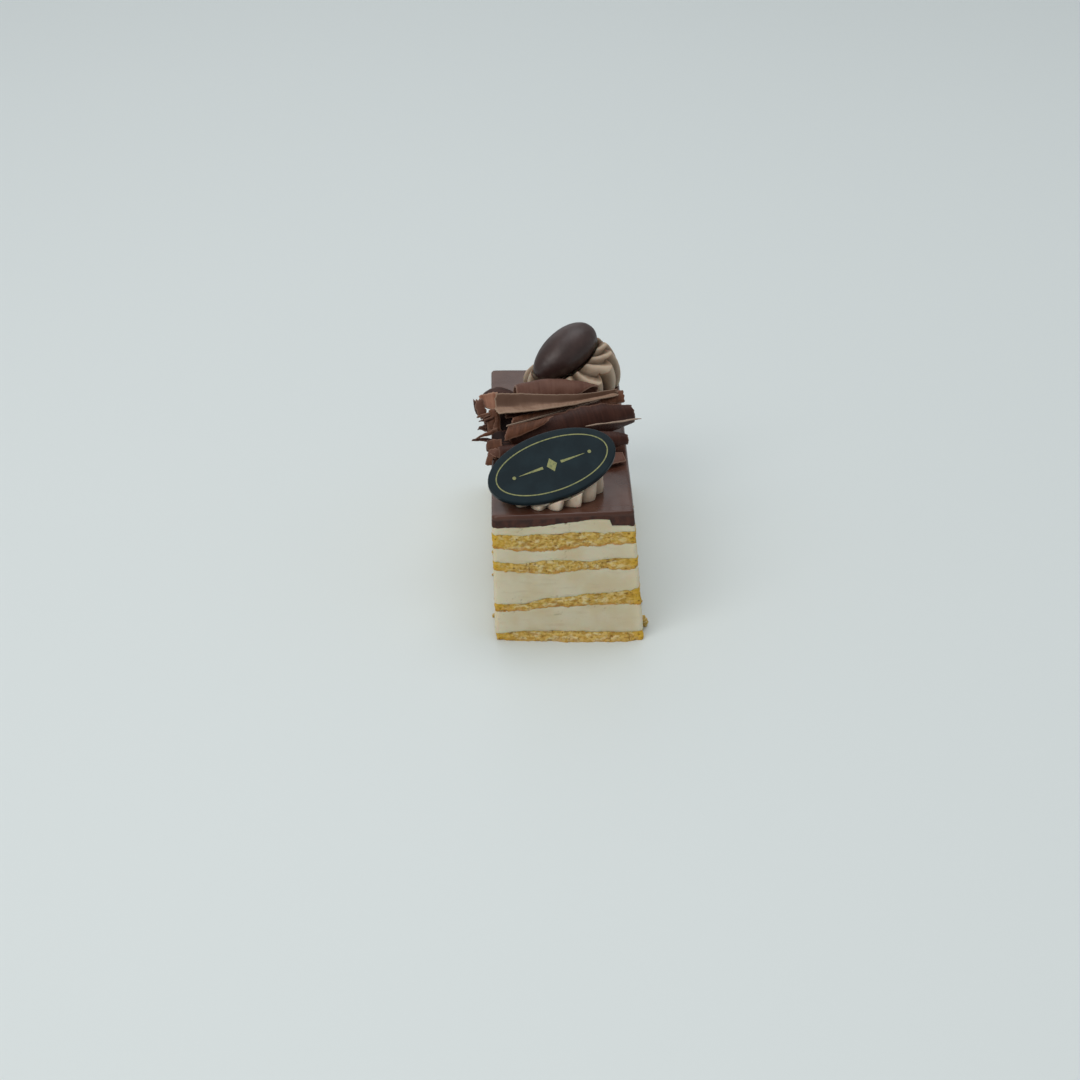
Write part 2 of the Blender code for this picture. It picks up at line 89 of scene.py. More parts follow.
# Rosettes, plaque and almond, as in the CAD model
ROSETTE_FRONT = {
    "middle": (-4.6, -36.4),
    "radii": (14.6, 14.4),
    "height": 11.5,
    "lobes": 15,
    "twist": 1.3,
    "turn": -0.05,
    "groove": 0.2,
    "tuck": 0.05,
    "low_side": 0.0,
    "low_share": 0.0,
    "nubs": (),
    "carries_almond": False,
}
ROSETTE_BACK = {
    "middle": (3.0, 38.2),
    "radii": (15.3, 14.6),
    "height": 16.2,
    "lobes": 14,
    "twist": -0.65,
    "turn": 0.1,
    "groove": 0.16,
    "tuck": 0.1,
    # angle of the side that is lower, and how much lower as a share of the height
    "low_side": 2.45,
    "low_share": 0.55,
    # angle round the rosette, share of its height, size
    "nubs": ((0.05, 0.42, 1.1), (2.75, 0.45, 1.1)),
    "carries_almond": True,
}
CREST = 0.66  # share of a lobe's width where its crest stands
LOBE_POINTS, ROSETTE_RINGS = 22, 96
NUB_RISE = 0.075  # how far a nub stands out, as a share of the radius
PRESS_GAP = 0.12  # between the cream and what presses on it
LEAST_CREAM = 0.25  # how much of it always stays under that
PRESSED_RELIEF = 0.5  # how deep the grooves stay where the plaque or almond presses
LOBE_RELIEF = 1.3  # how deep the grooves are beside the almond
RIM = 0.86  # share of the rings that are above the foot
PLAQUE_HALF_LENGTH, PLAQUE_HALF_WIDTH, PLAQUE_THICK = 18.3, 10.0, 2.0
PLAQUE_RIM = 0.45  # radius of its rounded edges
PLAQUE_MIDDLE = (-4.8, -41.2, 47.6)
PLAQUE_LEAN = math.radians(40.0)
PLAQUE_TURN = math.radians(21.3)
BEYOND_PLAQUE_RISE = 1.2  # how fast the cream may rise past the plaque's edge
PRINT_RISE = 0.04
KEYLINE_INSET, KEYLINE_HALF_WIDTH = 2.3, 0.16
ALMOND_HALF = (11.6, 7.2, 6.4)
ALMOND_MIDDLE = (0.6, 37.2, 49.9)
ALMOND_AXIS = (17.0, 12.0, 10.5)
ALMOND_TAPER = 0.12
SHOWN_UNDER_ALMOND = 2.9  # how far below its middle the front of the almond is free


# Numbers and curves

def blend(a, b, share):
    return a + (b - a) * share


def clamp(value, low=0.0, high=1.0):
    return min(max(value, low), high)


def smooth_step(share):
    share = clamp(share)
    return share * share * (3 - 2 * share)


def wobble(x, y, z, size, seed=0.0):
    """Smooth noise between about -1 and 1 whose bumps are "size" millimetres apart."""
    return noise.noise(Vector((x / size + seed, y / size - seed, z / size)))


def spline(values, share):
    """A smooth curve through equally spaced points."""
    place = clamp(share) * (len(values) - 1)
    i = min(int(place), len(values) - 2)
    f = place - i
    points = [Vector(value) for value in values]
    p1, p2 = points[i], points[i + 1]
    p0 = points[i - 1] if i > 0 else p1 * 2 - p2
    p3 = points[i + 2] if i + 2 < len(points) else p2 * 2 - p1
    curve = p1 * 2 + (p2 - p0) * f
    curve += (p0 * 2 - p1 * 5 + p2 * 4 - p3) * f * f
    curve += (p1 * 3 - p0 - p2 * 3 + p3) * f * f * f
    return curve * 0.5


# The block's surfaces

def front_height(heights, u):
    for i in range(len(FRONT_STATIONS) - 1):
        low, high = FRONT_STATIONS[i], FRONT_STATIONS[i + 1]
        if u <= high:
            return blend(heights[i], heights[i + 1], smooth_step((u - low) / (high - low)))
    return heights[-1]


def interface_height(name, u, v):
    """Height of an interface at shares u of the width and v of the length."""
    heights = INTERFACES[name]
    if name == "base":
        return 0.0
    mean = sum(heights) / len(heights)
    slope = (heights[-1] - heights[0]) * 0.5
    phase = mean * 0.7
    waves = math.sin(math.tau * (0.6 * u + 1.9 * v) + phase)
    waves += 0.6 * math.sin(math.tau * (1.1 * u - 3.3 * v) + 2 * phase)
    size = WAVE * 0.4 if name == "top" else WAVE
    rest = mean + slope * (u - 0.5) + size * waves
    return blend(front_height(heights, u), rest, smooth_step(v / FRONT_DEPTH))


def ganache_step(height, u, v):
    """The ganache's lower edge stays high in front up to where it drops in a step."""
    upper, lower = GANACHE_STEP
    stepped = blend(upper, lower, smooth_step((u - 0.824) / 0.014))
    share = smooth_step((u - 0.6) / 0.12) * smooth_step((1.0 - u) / 0.08)
    return blend(height, stepped, share * (1 - smooth_step(v / FRONT_DEPTH)))


def edge_height(name, u, v):
    """An interface's height on the cut walls, where it is uneven."""
    height = interface_height(name, u, v)
    if name in ("base", "top"):
        return height
    x, y = u * 40, v * LENGTH
    seed = INTERFACES[name][0]
    coarse = 0.1 if name == "ganache_bottom" else 0.3
    height += coarse * wobble(x, y, seed, 2.6, seed)
    height += 0.14 * wobble(x, y, seed, 0.8, seed)
    if name == "ganache_bottom":
        height = ganache_step(height, u, v)
        height -= 0.14 * abs(math.sin(1.9 * x + 1.7 * y + 2 * wobble(x, y, 0, 3)))
    return height


def side(u, height):
    """X at share u of the width: the cut walls lean to the left as they rise."""
    share = height / TOP_HEIGHT
    left = blend(BASE_LEFT, TOP_LEFT, share)
    right = blend(BASE_RIGHT, TOP_RIGHT, share)
    return blend(left, right, u)


def top_height(x, y):
    """Height of the ganache's top at a point of the plan."""
    u = (x - TOP_LEFT) / (TOP_RIGHT - TOP_LEFT)
    return interface_height("top", clamp(u), y / LENGTH + 0.5)


# Meshes

def make_piece(name, points, faces, material, replaces=(), attributes=None):
    """One mesh piece from points in millimetres, riding the body and dressed."""
    mesh = bpy.data.meshes.new(name)
    mesh.from_pydata((np.asarray(points, dtype=float) * MM).tolist(), [], faces)
    mesh.materials.append(material)
    mesh.shade_smooth()
    for key, values in (attributes or {}).items():
        layer = mesh.attributes.new(key, "FLOAT", "POINT")
        layer.data.foreach_set("value", np.asarray(values, dtype=np.float32))
    mesh.validate()
    piece = bpy.data.objects.new(name, mesh)
    bpy.context.scene.collection.objects.link(piece)
    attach(piece, BODY)
    if replaces:
        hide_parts(*replaces)
    return piece


def ring_faces(rings, around):
    """Quads between closed rings of points, listed from the lowest ring up."""
    faces = []
    for ring in range(rings - 1):
        low = ring * around
        high = low + around
        for i in range(around):
            j = (i + 1) % around
            faces.append((low + i, low + j, high + j, high + i))
    return faces


def ring_faces_down(rings, around):
    """Quads between closed rings of points, listed from the highest ring down."""
    return [tuple(reversed(face)) for face in ring_faces(rings, around)]


def grid_border(across, along):
    """Places (i, j) once round the border of a grid."""
    border = [(i, 0) for i in range(across)] + [(across, j) for j in range(along)]
    return border + [(i, along) for i in range(across, 0, -1)] + [(0, j) for j in range(along, 0, -1)]


def slab_faces(rows, columns, first=0):
    """Quads of two facing grids of points, listed one after the other, and of their rim."""
    faces = []
    row, layer = columns + 1, (rows + 1) * (columns + 1)
    for i in range(rows):
        for j in range(columns):
            a = first + i * row + j
            faces.append((a, a + row, a + row + 1, a + 1))
            b = a + layer
            faces.append((b, b + 1, b + row + 1, b + row))
    rim = [first + i * row + j for i, j in grid_border(rows, columns)]
    for a, b in zip(rim, rim[1:] + rim[:1]):
        faces.append((a, a + layer, b + layer, b))
    return faces


def ball(rings, around):
    """Directions over a whole sphere, ring by ring down from the third coordinate's pole."""
    for ring in range(rings + 1):
        slant = math.pi * ring / rings
        for i in range(around):
            angle = math.tau * i / around
            yield math.sin(slant) * math.cos(angle), math.sin(slant) * math.sin(angle), math.cos(slant)


def oval(middle_x, half_x, half_y, count):
    """Points once round an oval in the plane."""
    turns = [math.tau * i / count for i in range(count)]
    return [(middle_x + half_x * math.cos(turn), half_y * math.sin(turn)) for turn in turns]


def plan_loop(spacing, radius, half_x, half_y):
    """Points round a rounded rectangle, as core shares and outward directions."""
    loop = []
    along_x = round(2 * (half_x - radius) / spacing)
    along_y = round(2 * (half_y - radius) / spacing)
    bend = max(3, round(radius * math.pi / 2 / spacing))
    corners = ((1, -1), (1, 1), (-1, 1), (-1, -1))
    for index, corner in enumerate(corners):
        before = corners[index - 1]
        count = along_x if before[1] == corner[1] else along_y
        start = -math.pi / 2 + index * math.pi / 2
        out = (math.cos(start), math.sin(start))
        for i in range(1, count):
            share = i / count
            core = (blend(before[0], corner[0], share), blend(before[1], corner[1], share))
            loop.append((core, out))
        for i in range(bend + 1):
            angle = start + math.pi / 2 * i / bend
            loop.append((corner, (math.cos(angle), math.sin(angle))))
    return loop


# Sponge and cream layers

def crumb(x, y, z, to_top):
    """How far the sponge's cut face stands out, and how far it is a pore, at a point.

    to_top is the distance to the layer's upper edge, where the crumb is more open.
    """
    x, y, z = (
        x + 0.5 * wobble(x, y, z, 1.6, 3),
        y + 0.5 * wobble(x, y, z, 1.6, 6),
        z + 0.35 * wobble(x, y, z, 1.6, 9),
    )
    out = 0.35 * noise.noise(Vector((x, y, z)) * 0.45)
    out += 0.2 * noise.noise(Vector((x, y, z * 1.5)))
    out += 0.1 * wobble(x, y, z, 0.45, 9)
    pore = 0.0
    for cells, widest, seed in ((0.36, 0.4, 0.0), (0.7, 0.36, 31.0), (1.3, 0.28, 62.0)):
        point = Vector((x * cells + seed, y * cells, z * cells * 2.0))
        distances, centres = noise.voronoi(point)
        size = widest * clamp(0.3 + 1.9 * noise.noise(centres[0] * 7.3))
        size *= 1 + 0.5 * smooth_step(1 - to_top / 0.8)
        if size > 0.05:
            pore = max(pore, smooth_step((size - distances[0]) / (0.8 * size)))
    cleft = abs(noise.noise(Vector((x * 0.4 + 3, y * 0.4, z))))
    cleft = smooth_step(1 - cleft / 0.08) * smooth_step(0.3 + 2 * wobble(x, y, z, 3, 12))
    pore = max(pore, 0.8 * cleft)
    return out - 0.45 * pore, pore


def smear(x, y, z, to_edge):
    """How far the cream's cut face stands out, with drag marks and fine tears.

    to_edge is the distance to the layer's nearer edge, where most of the tears are.
    """
    out = 0.12 * wobble(x, y, z, 5.5, 2)
    out += 0.05 * noise.noise(Vector((x * 0.2, y * 0.2, z * 1.3)))
    tear = abs(noise.noise(Vector((x * 0.22 + 7, y * 0.22, z * 0.75))))
    where = wobble(x, y, z, 7.5, 13) + 0.25 * smooth_step(1 - to_edge / 1.2)
    tear = clamp(1 - tear / 0.03) * smooth_step((where - 0.16) / 0.2)
    # the second value marks the tears, which the cream's colour darkens as painted shade
    return out - 0.16 * tear, 0.8 * tear


def base_wear(corner, u, ahead, z):
    """The foot's crumb is worn back, most at its corners, but squeezed out in front."""
    squeezed = front_height(FRONT_FOOT, u) * ahead * smooth_step(1 - z / FRONT_FOOT_HEIGHT)
    worn = (FOOT_WEAR + CORNER_WEAR * corner) * smooth_step(1 - z / WEAR_HEIGHT)
    return squeezed - worn * (1 - 0.8 * ahead)


def make_layer(name, lower, upper, kind, baked, material):
    grid = SPONGE_GRID if kind == "sponge" else CREAM_GRID
    half = (BASE_RIGHT - BASE_LEFT) / 2
    loop = plan_loop(grid, CORNER, half, LENGTH / 2)
    count = len(FRONT_STATIONS)
    thick = sum(INTERFACES[upper]) / count - sum(INTERFACES[lower]) / count
    rings = max(6, round(thick / grid)) + 1
    edges = []
    for core, out in loop:
        u = clamp(0.5 + 0.5 * (core[0] * (half - CORNER) + CORNER * out[0]) / half)
        v = 0.5 + (core[1] * (LENGTH / 2 - CORNER) + CORNER * out[1]) / LENGTH
        low = edge_height(lower, u, v) - (SEAM if lower != "base" else 0.0)
        high = edge_height(upper, u, v) + SEAM
        edges.append((low, high))
    points, hollows, bakes, corners = [], [], [], []
    for ring in range(rings):
        w = ring / (rings - 1)
        for (core, out), (low, high) in zip(loop, edges):
            z = blend(low, high, w)
            left, right = side(0.0, z), side(1.0, z)
            reach = (right - left) / 2 - CORNER
            x = (left + right) / 2 + core[0] * reach + out[0] * CORNER
            y = core[1] * (LENGTH / 2 - CORNER) + out[1] * CORNER
            from_edge = max(reach * (1 - abs(core[0])), (1 - abs(core[1])) * LENGTH / 2)
            corner = math.exp(-from_edge / 2.2)
            to_edge = min(z - low, high - z)
            if kind == "sponge":
                stand, hollow = crumb(x, y, z, high - z)
                stand -= 0.1
                if name == "sponge_1":
                    stand += base_wear(corner, 0.5 + 0.5 * core[0], max(0.0, -out[1]), z)
            else:
                stand, hollow = smear(x, y, z, to_edge)
                stand -= 0.18 * smooth_step(1 - to_edge / 0.45)
            line = 1.15 - (z - low) / (0.9 + 0.5 * wobble(x, y, z, 3.2, 3))
            bakes.append(clamp(baked * (line + 0.5 * wobble(x, y, z, 1.1, 8))))
            hollows.append(hollow)
            corners.append(corner)
            points.append((x + out[0] * stand, y + out[1] * stand, z))
    around = len(loop)
    faces = ring_faces(rings, around)
    faces.append(tuple(reversed(range(around))))
    faces.append(tuple(range((rings - 1) * around, rings * around)))
    # hollow marks the sponge's pores and the cream's tears, which the materials darken as painted shade;
    # corner marks the upright edges, which they tint as a painted highlight
    attributes = {"hollow": hollows, "bake": bakes, "corner": corners}
    piece = make_piece(name + "_cut", points, faces, material, (name,), attributes)
    piece.data.set_sharp_from_angle(angle=math.radians(70))


# Ganache

def ganache_wave(x, y):
    """Small rises and falls of the poured ganache, with one shallow crease."""
    rise = 0.07 * wobble(x, y, 0, 9, 4) + 0.02 * wobble(x, y, 0, 2.5, 6)
    crease = abs(y + 47.4 + 0.03 * x) / 0.35
    rise -= 0.1 * smooth_step(1 - crease) * smooth_step((x - 7.5) / 2.5)
    return rise


def make_ganache(material):
    inner = 0.35
    half_x = (TOP_RIGHT - TOP_LEFT) / 2
    middle_x = (TOP_RIGHT + TOP_LEFT) / 2
    reach_x, reach_y = half_x - RIM_ROUND, LENGTH / 2 - RIM_ROUND
    count_x, count_y = round(2 * reach_x / GANACHE_GRID), round(2 * reach_y / GANACHE_GRID)
    points, streaks = [], []

    def plan_point(i, j):
        """Core and outward direction of a grid point, squared corners made round."""
        x, y = reach_x * (2 * i / count_x - 1), reach_y * (2 * j / count_y - 1)
        core_x = clamp(x, inner - reach_x, reach_x - inner)
        core_y = clamp(y, inner - reach_y, reach_y - inner)
        off = Vector((x - core_x, y - core_y))
        if off.length > 0:
            off = off.normalized() * max(abs(off.x), abs(off.y))
        return core_x, core_y, off

    for j in range(count_y + 1):
        for i in range(count_x + 1):
            core_x, core_y, off = plan_point(i, j)
            x, y = middle_x + core_x + off.x, core_y + off.y
            points.append((x, y, top_height(x, y) + ganache_wave(x, y)))
            streaks.append(0.0)
    faces = []
    row = count_x + 1
    for j in range(count_y):
        for i in range(count_x):
            a = j * row + i
            faces.append((a, a + 1, a + row + 1, a + row))
    border = grid_border(count_x, count_y)
    previous = [j * row + i for i, j in border]
    bends, walls = 5, 9
    for ring in range(1, bends + walls + 1):
        current = []
        for i, j in border:
            core_x, core_y, off = plan_point(i, j)
            out = off.normalized()
            angle = math.pi / 2 * min(ring / bends, 1.0)
            stand = inner + RIM_ROUND * math.sin(angle)
            x, y = middle_x + core_x + out.x * stand, core_y + out.y * stand
            u, v = clamp((x - TOP_LEFT) / (2 * half_x)), clamp(y / LENGTH + 0.5)
            top = top_height(x, y) - RIM_ROUND * (1 - math.cos(angle))
            share = max(ring - bends, 0) / walls
            low = edge_height("ganache_bottom", u, v) - SEAM
            z = blend(top, low, share)
            lean = side(0.5 + 0.5 * core_x / half_x, z) - side(0.5 + 0.5 * core_x / half_x, top)
            drag = 0.05 * wobble(x, y, z * 0.15, 0.7, 21) * min(share * 4, 1)
            drag += 0.1 * wobble(x, y, z, 5, 17) * share
            drag += 0.05 * smooth_step(1 - abs(share - 0.9) / 0.2)
            current.append(len(points))
            points.append((x + lean + out.x * drag, y + out.y * drag, z))
            streaks.append(min(share * 3, 1.0))
        for a in range(len(border)):
            b = (a + 1) % len(border)
            faces.append((previous[a], current[a], current[b], previous[b]))
        previous = current
    faces.append(tuple(reversed(previous)))
    attributes = {"cut": streaks}
    make_piece("ganache_glaze", points, faces, material, ("ganache",), attributes)


# Piped rosettes

def plaque_frame():
    lean = Matrix.Rotation(PLAQUE_LEAN, 4, "X")
    turn = Matrix.Rotation(PLAQUE_TURN, 4, "Z")
    return Matrix.Translation(PLAQUE_MIDDLE) @ lean @ turn


PLAQUE = plaque_frame()
PLAQUE_NORMAL = PLAQUE.to_3x3() @ Vector((0, 0, 1))
TO_PLAQUE = PLAQUE.inverted()


def plaque_underside(x, y):
    """Highest the cream may reach under the plaque; beyond the oval the limit rises."""
    normal = PLAQUE_NORMAL
    middle = Vector(PLAQUE_MIDDLE) - normal * (PLAQUE_THICK / 2)
    height = middle.z - ((x - middle.x) * normal.x + (y - middle.y) * normal.y) / normal.z
    on_face = TO_PLAQUE @ Vector((x, y, height))
    reach = math.hypot(on_face.x / PLAQUE_HALF_LENGTH, on_face.y / PLAQUE_HALF_WIDTH)
    beyond = max(reach - 1.03, 0.0) * PLAQUE_HALF_WIDTH
    return height + beyond * BEYOND_PLAQUE_RISE


def almond_frame():
    along = Vector(ALMOND_AXIS).normalized()
    across = Vector((0, 0, 1)).cross(along).normalized()
    up = along.cross(across)
    turned = Matrix((along, across, up)).transposed().to_4x4()
    return Matrix.Translation(ALMOND_MIDDLE) @ turned


ALMOND = almond_frame()
SWOLLEN = [1 / (half * (1 + ALMOND_TAPER / 2) + 0.1) for half in ALMOND_HALF]
TO_ALMOND = Matrix.Diagonal((*SWOLLEN, 1.0)) @ ALMOND.inverted()
UP_AT_ALMOND = TO_ALMOND.to_3x3() @ Vector((0, 0, 1))


def before_almond(x, y):
    """Height of the cream's crests on the front side of the almond, along its axis."""
    along = Vector(ALMOND_AXIS[:2])
    slope = ALMOND_AXIS[2] / along.length
    along.normalize()
    off = Vector((x - ALMOND_MIDDLE[0], y - ALMOND_MIDDLE[1]))
    ahead = off.x * along.y - off.y * along.x
    if ahead < 0:
        return math.inf
    return ALMOND_MIDDLE[2] - SHOWN_UNDER_ALMOND + slope * off.dot(along) - 0.045 * ahead ** 1.7


def almond_underside(x, y):
    """Highest the cream may reach under the almond; beside it the limit rises."""
    start = TO_ALMOND @ Vector((x, y, 0.0))
    a = UP_AT_ALMOND.dot(UP_AT_ALMOND)
    b = 2 * start.dot(UP_AT_ALMOND)
    c = start.dot(start) - 1.0
    inside = b * b - 4 * a * c
    rise = -math.sqrt(inside) if inside > 0 else math.sqrt(-inside)
    return (rise - b) / (2 * a)


def lobe_crest(place):
    """Share of a lobe's fullness across it: a slow rise to its crest, then a quick drop."""
    if place < CREST:
        return math.sin(math.pi / 2 * place / CREST) ** 0.9
    return math.cos(math.pi / 2 * (place - CREST) / (1 - CREST)) ** 0.9


def rosette_profile(share, tuck):
    """(radius, height) shares of the outline, from the peak at 0 to the rim at 1."""
    angle = share * math.pi / 2
    height = math.cos(angle) ** 0.9
    return math.sin(angle) ** 0.72 * (1 - tuck * (1 - height) ** 4), height


def make_rosette(name, spec, pressed_by, material, node):
    """Star-piped lobes that overlap like shingles, each with a fine raised crest."""
    around, rings = spec["lobes"] * LOBE_POINTS, ROSETTE_RINGS
    cx, cy = spec["middle"]
    points, crest_highlights, groove_shades = [], [], []
    for ring in range(1, rings):
        share = ring / rings
        for i in range(around):
            turned = math.tau * i / around
            radius, height = rosette_profile(min(share / RIM, 1.0), spec["tuck"])
            if share > RIM:
                radius, height = radius * (1 - share) / (1 - RIM), 0.0
            round_x, round_y = math.cos(turned) * 2, math.sin(turned) * 2
            bent = turned + 0.07 * noise.noise(Vector((round_x, round_y, share * 2)))
            crest = lobe_crest(bent * spec["lobes"] / math.tau % 1.0)
            uneven = 1 + 0.5 * noise.noise(Vector((round_x, round_y, 3)))
            deep = spec["groove"] * uneven * (1 - crest) * min(radius * 2, 1.0)
            lobe = 1 - deep + 0.03 * noise.noise(Vector((round_x, round_y, 3 * share)))
            for angle, level, size in spec["nubs"]:
                off = math.hypot((turned - angle) * radius * 14, (height - level) * spec["height"])
                lobe += NUB_RISE * math.exp(-((off / size) ** 2))
            angle = turned + spec["turn"] + spec["twist"] * (1 - min(share / RIM, 1.0)) ** 2
            x = cx + spec["radii"][0] * radius * lobe * math.cos(angle)
            y = cy + spec["radii"][1] * radius * lobe * math.sin(angle)
            floor = top_height(x, y) - 0.05
            low = (0.5 + 0.5 * math.cos(angle - spec["low_side"])) ** 1.5 * min(radius * 1.3, 1.0)
            tall = (spec["height"] + 0.3) * (1 - spec["low_share"] * low)
            z = floor + tall * height * (0.8 + 0.2 * lobe)
            if spec["carries_almond"] and z > before_almond(x, y):
                sunk = smooth_step((z - before_almond(x, y)) / 1.5)
                z = before_almond(x, y) - LOBE_RELIEF * sunk * (1 - crest)
            z += 0.15 * wobble(x, y, z, 1.3, 4) * min(height * 3, 1)
            least = floor + LEAST_CREAM * min(8 * height, 1.0)
            pressed = pressed_by(x, y) - PRESS_GAP
            pressed -= PRESSED_RELIEF * smooth_step((z - pressed) / 1.5) * (1 - crest)
            points.append((x, y, max(min(z, pressed), least)))
            # the crest mask gives a painted highlight on the crests, the groove mask painted shade in the
            # grooves
            crest_highlights.append(crest ** 6)
            groove_shades.append(1 - crest)
    peak_z = top_height(cx, cy) + spec["height"]
    top_index, base_index = len(points), len(points) + 1
    points.append((cx, cy, max(min(peak_z, pressed_by(cx, cy) - PRESS_GAP), top_height(cx, cy))))
    points.append((cx, cy, top_height(cx, cy) - 0.05))
    crest_highlights += [0.0, 0.0]
    groove_shades += [0.0, 0.0]
    faces = ring_faces_down(rings - 1, around)
    last = (rings - 2) * around
    for i in range(around):
        j = (i + 1) % around
        faces.append((top_index, i, j))
        faces.append((base_index, last + j, last + i))
    attributes = {"crest": crest_highlights, "groove": groove_shades}
    make_piece(name, points, faces, material, (node,), attributes)


# Plaque and almond

def plaque_wave(x, y, height):
    """Height of the plaque's face or underside, which aren't quite flat."""
    return height + 0.05 * wobble(x, y, height, 7, 3)


def make_plaque(material):
    """An oval disc with softly rounded rims and a face that is nearly flat."""
    around = 192
    half = PLAQUE_THICK / 2
    outline = [(share, 0.0, half) for share in (0.15, 0.35, 0.55, 0.72, 0.86, 1.0)]
    for i in range(1, 9):
        angle = math.pi / 2 * i / 8
        outline.append((1.0, PLAQUE_RIM * math.sin(angle), half - PLAQUE_RIM * (1 - math.cos(angle))))
    outline += [(share, out, -height) for share, out, height in reversed(outline)]
    points = []
    for share, out, height in outline:
        for i in range(around):
            angle = math.tau * i / around
            x = (PLAQUE_HALF_LENGTH - PLAQUE_RIM) * share * math.cos(angle) + out * math.cos(angle)
            y = (PLAQUE_HALF_WIDTH - PLAQUE_RIM) * share * math.sin(angle) + out * math.sin(angle)
            points.append(PLAQUE @ Vector((x, y, plaque_wave(x, y, height))))
    faces = ring_faces_down(len(outline), around)
    faces.append(tuple(range(around)))
    last = (len(outline) - 1) * around
    faces.append(tuple(reversed(range(last, last + around))))
    make_piece("plaque_disc", points, faces, material, ("plaque",))


def ribbon(centre, half_width, closed):
    """A flat band along a line on the plaque's face, as points and quads."""
    points, faces = [], []
    count = len(centre)
    for index in range(count):
        before = Vector(centre[index - 1] if closed or index else centre[0])
        after = Vector(centre[(index + 1) % count] if closed or index < count - 1 else centre[-1])
        across = (after - before).normalized()
        across = Vector((-across.y, across.x))
        width = half_width(index / (count - 1))
        for sign in (1, -1):
            spot = Vector(centre[index]) + across * width * sign
            points.append((spot.x, spot.y))
    for index in range(count if closed else count - 1):
        a, b = 2 * index, 2 * ((index + 1) % count)
        faces.append((a, a + 1, b + 1, b))
    return points, faces


def make_print(material):
    """A plain gold keyline and a small divider ornament, laid on the plaque's face."""
    inner_x, inner_y = PLAQUE_HALF_LENGTH - KEYLINE_INSET, PLAQUE_HALF_WIDTH - KEYLINE_INSET
    shapes = [ribbon(oval(0.0, inner_x, inner_y, 160), lambda share: KEYLINE_HALF_WIDTH, True)]
    lozenge = [(0, 0), (1.5, -2.1), (3.0, 0), (1.5, 2.1)]
    shapes.append(([(x - 1.5, y) for x, y in lozenge], [(0, 1, 2, 3)]))
    for sign in (1, -1):
        stroke = [(sign * blend(2.6, 9.6, i / 20), 0.0) for i in range(21)]
        shapes.append(ribbon(stroke, lambda share: blend(0.42, 0.06, share), False))
        shapes.append((oval(sign * 11.0, 0.5, 0.5, 20), [tuple(range(20))]))
    points, faces = [], []
    for flat, flat_faces in shapes:
        first = len(points)
        for x, y in flat:
            lift = plaque_wave(x, y, PLAQUE_THICK / 2) + PRINT_RISE
            points.append(PLAQUE @ Vector((x, y, lift)))
        for face in flat_faces:
            a, b, c = (Vector(flat[k]) for k in face[:3])
            turn = (b - a).cross(c - b)
            order = face if turn > 0 else tuple(reversed(face))
            faces.append(tuple(first + k for k in order))
    make_piece("plaque_print", points, faces, material)


def make_almond(material):
    """A coated almond, narrower at one end, with the faint dents of its coating."""
    rings, around = 96, 128
    long, wide, thin = ALMOND_HALF
    points = []
    for y, z, x in ball(rings, around):
        taper = 1 + ALMOND_TAPER * (x - 0.5)
        spot = Vector((long * x, wide * y * taper, thin * z * taper))
        swell = 1 + 0.012 * noise.noise(spot * 0.22) + 0.004 * noise.noise(spot * 0.8)
        points.append(ALMOND @ (spot * swell))
    faces = ring_faces_down(rings + 1, around)
    make_piece("almond_coat", points, faces, material, ("almond",))


# Shavings, on the CAD model's lines

def roll(finish, thick, inward, *line):
    """A rolled sheet along stations of x, y, z, radius and the angles of its two edges.

    inward is the share of the radius that it loses from its free edge to its inner one.
    """
    return {"finish": finish, "thick": thick, "inward": inward, "line": line}


def leaf(finish, thick, bulge, near, far, fold=None):
    """A bent sheet between two edges.

    bulge is how far it bows between them at stations along it, and fold is the share of
    the way across it where it is creased.
    """
    return {"finish": finish, "thick": thick, "bulge": bulge, "near": near, "far": far, "fold": fold}


# A finish is the look, the depth of the ribs, and how ragged the ends and the edges are
ROLLS = {
    "curl_back": roll(
        ("shaving_brown", 0.008, 0.9, 0.45), 0.7, 0.1,
        (-14.8, 16.4, 43.4, 4.1, -70, 235), (-6.0, 17.0, 44.2, 4.8, -70, 240),
        (2.5, 18.0, 43.9, 4.3, 5, 245), (10.8, 19.4, 42.7, 3.1, 105, 250),
    ),
    "curl_ribbed": roll(
        ("shaving_dark", 0.014, 1.6, 0.9), 0.6, 0.36,
        (-17.5, -12.5, 42.6, 2.6, 100, -285), (-5.0, -7.6, 43.7, 4.3, 100, -285),
        (7.5, -2.0, 44.3, 5.0, 100, -285), (19.8, 3.0, 44.2, 2.7, 100, -285),
    ),
    "curl_under": roll(
        ("shaving_dark", 0.02, 1.2, 0.5), 0.7, 0.2,
        (-12.2, -0.6, 43.4, 4.3, 120, -230), (-1.0, 5.0, 43.7, 4.6, 120, -230),
        (10.6, 10.6, 43.0, 3.6, 120, -230),
    ),
    "curl_arch": roll(
        ("shaving_dark", 0.015, 1.2, 1.0), 0.7, 0.06,
        (-19.3, 1.8, 44.4, 5.1, 205, -75), (-19.0, 5.6, 44.7, 5.5, 205, -75),
        (-18.8, 9.6, 44.8, 5.8, 205, -75),
    ),
    "curl_right": roll(
        ("shaving_dark", 0.015, 1.1, 0.7), 0.5, 0.2,
        (7.0, -13.0, 42.6, 3.0, -60, 250), (12.5, -12.2, 42.8, 2.4, -60, 270),
        (17.8, -11.4, 42.6, 1.4, -60, 290),
    ),
    "curl_left": roll(
        ("shaving_dark", 0.015, 1.0, 0.5), 0.5, 0.1,
        (-19.8, -18.2, 41.3, 1.8, -40, 240), (-14.5, -17.6, 41.5, 2.0, -40, 240),
        (-9.0, -17.0, 41.7, 2.2, -40, 240),
    ),
    "curl_corner": roll(
        ("shaving_dark", 0.015, 1.0, 0.8), 0.5, 0.1,
        (-23.0, -12.6, 41.3, 1.5, -80, 220), (-20.8, -12.9, 41.5, 1.7, -80, 220),
        (-18.8, -13.2, 41.5, 1.5, -80, 220),
    ),
}
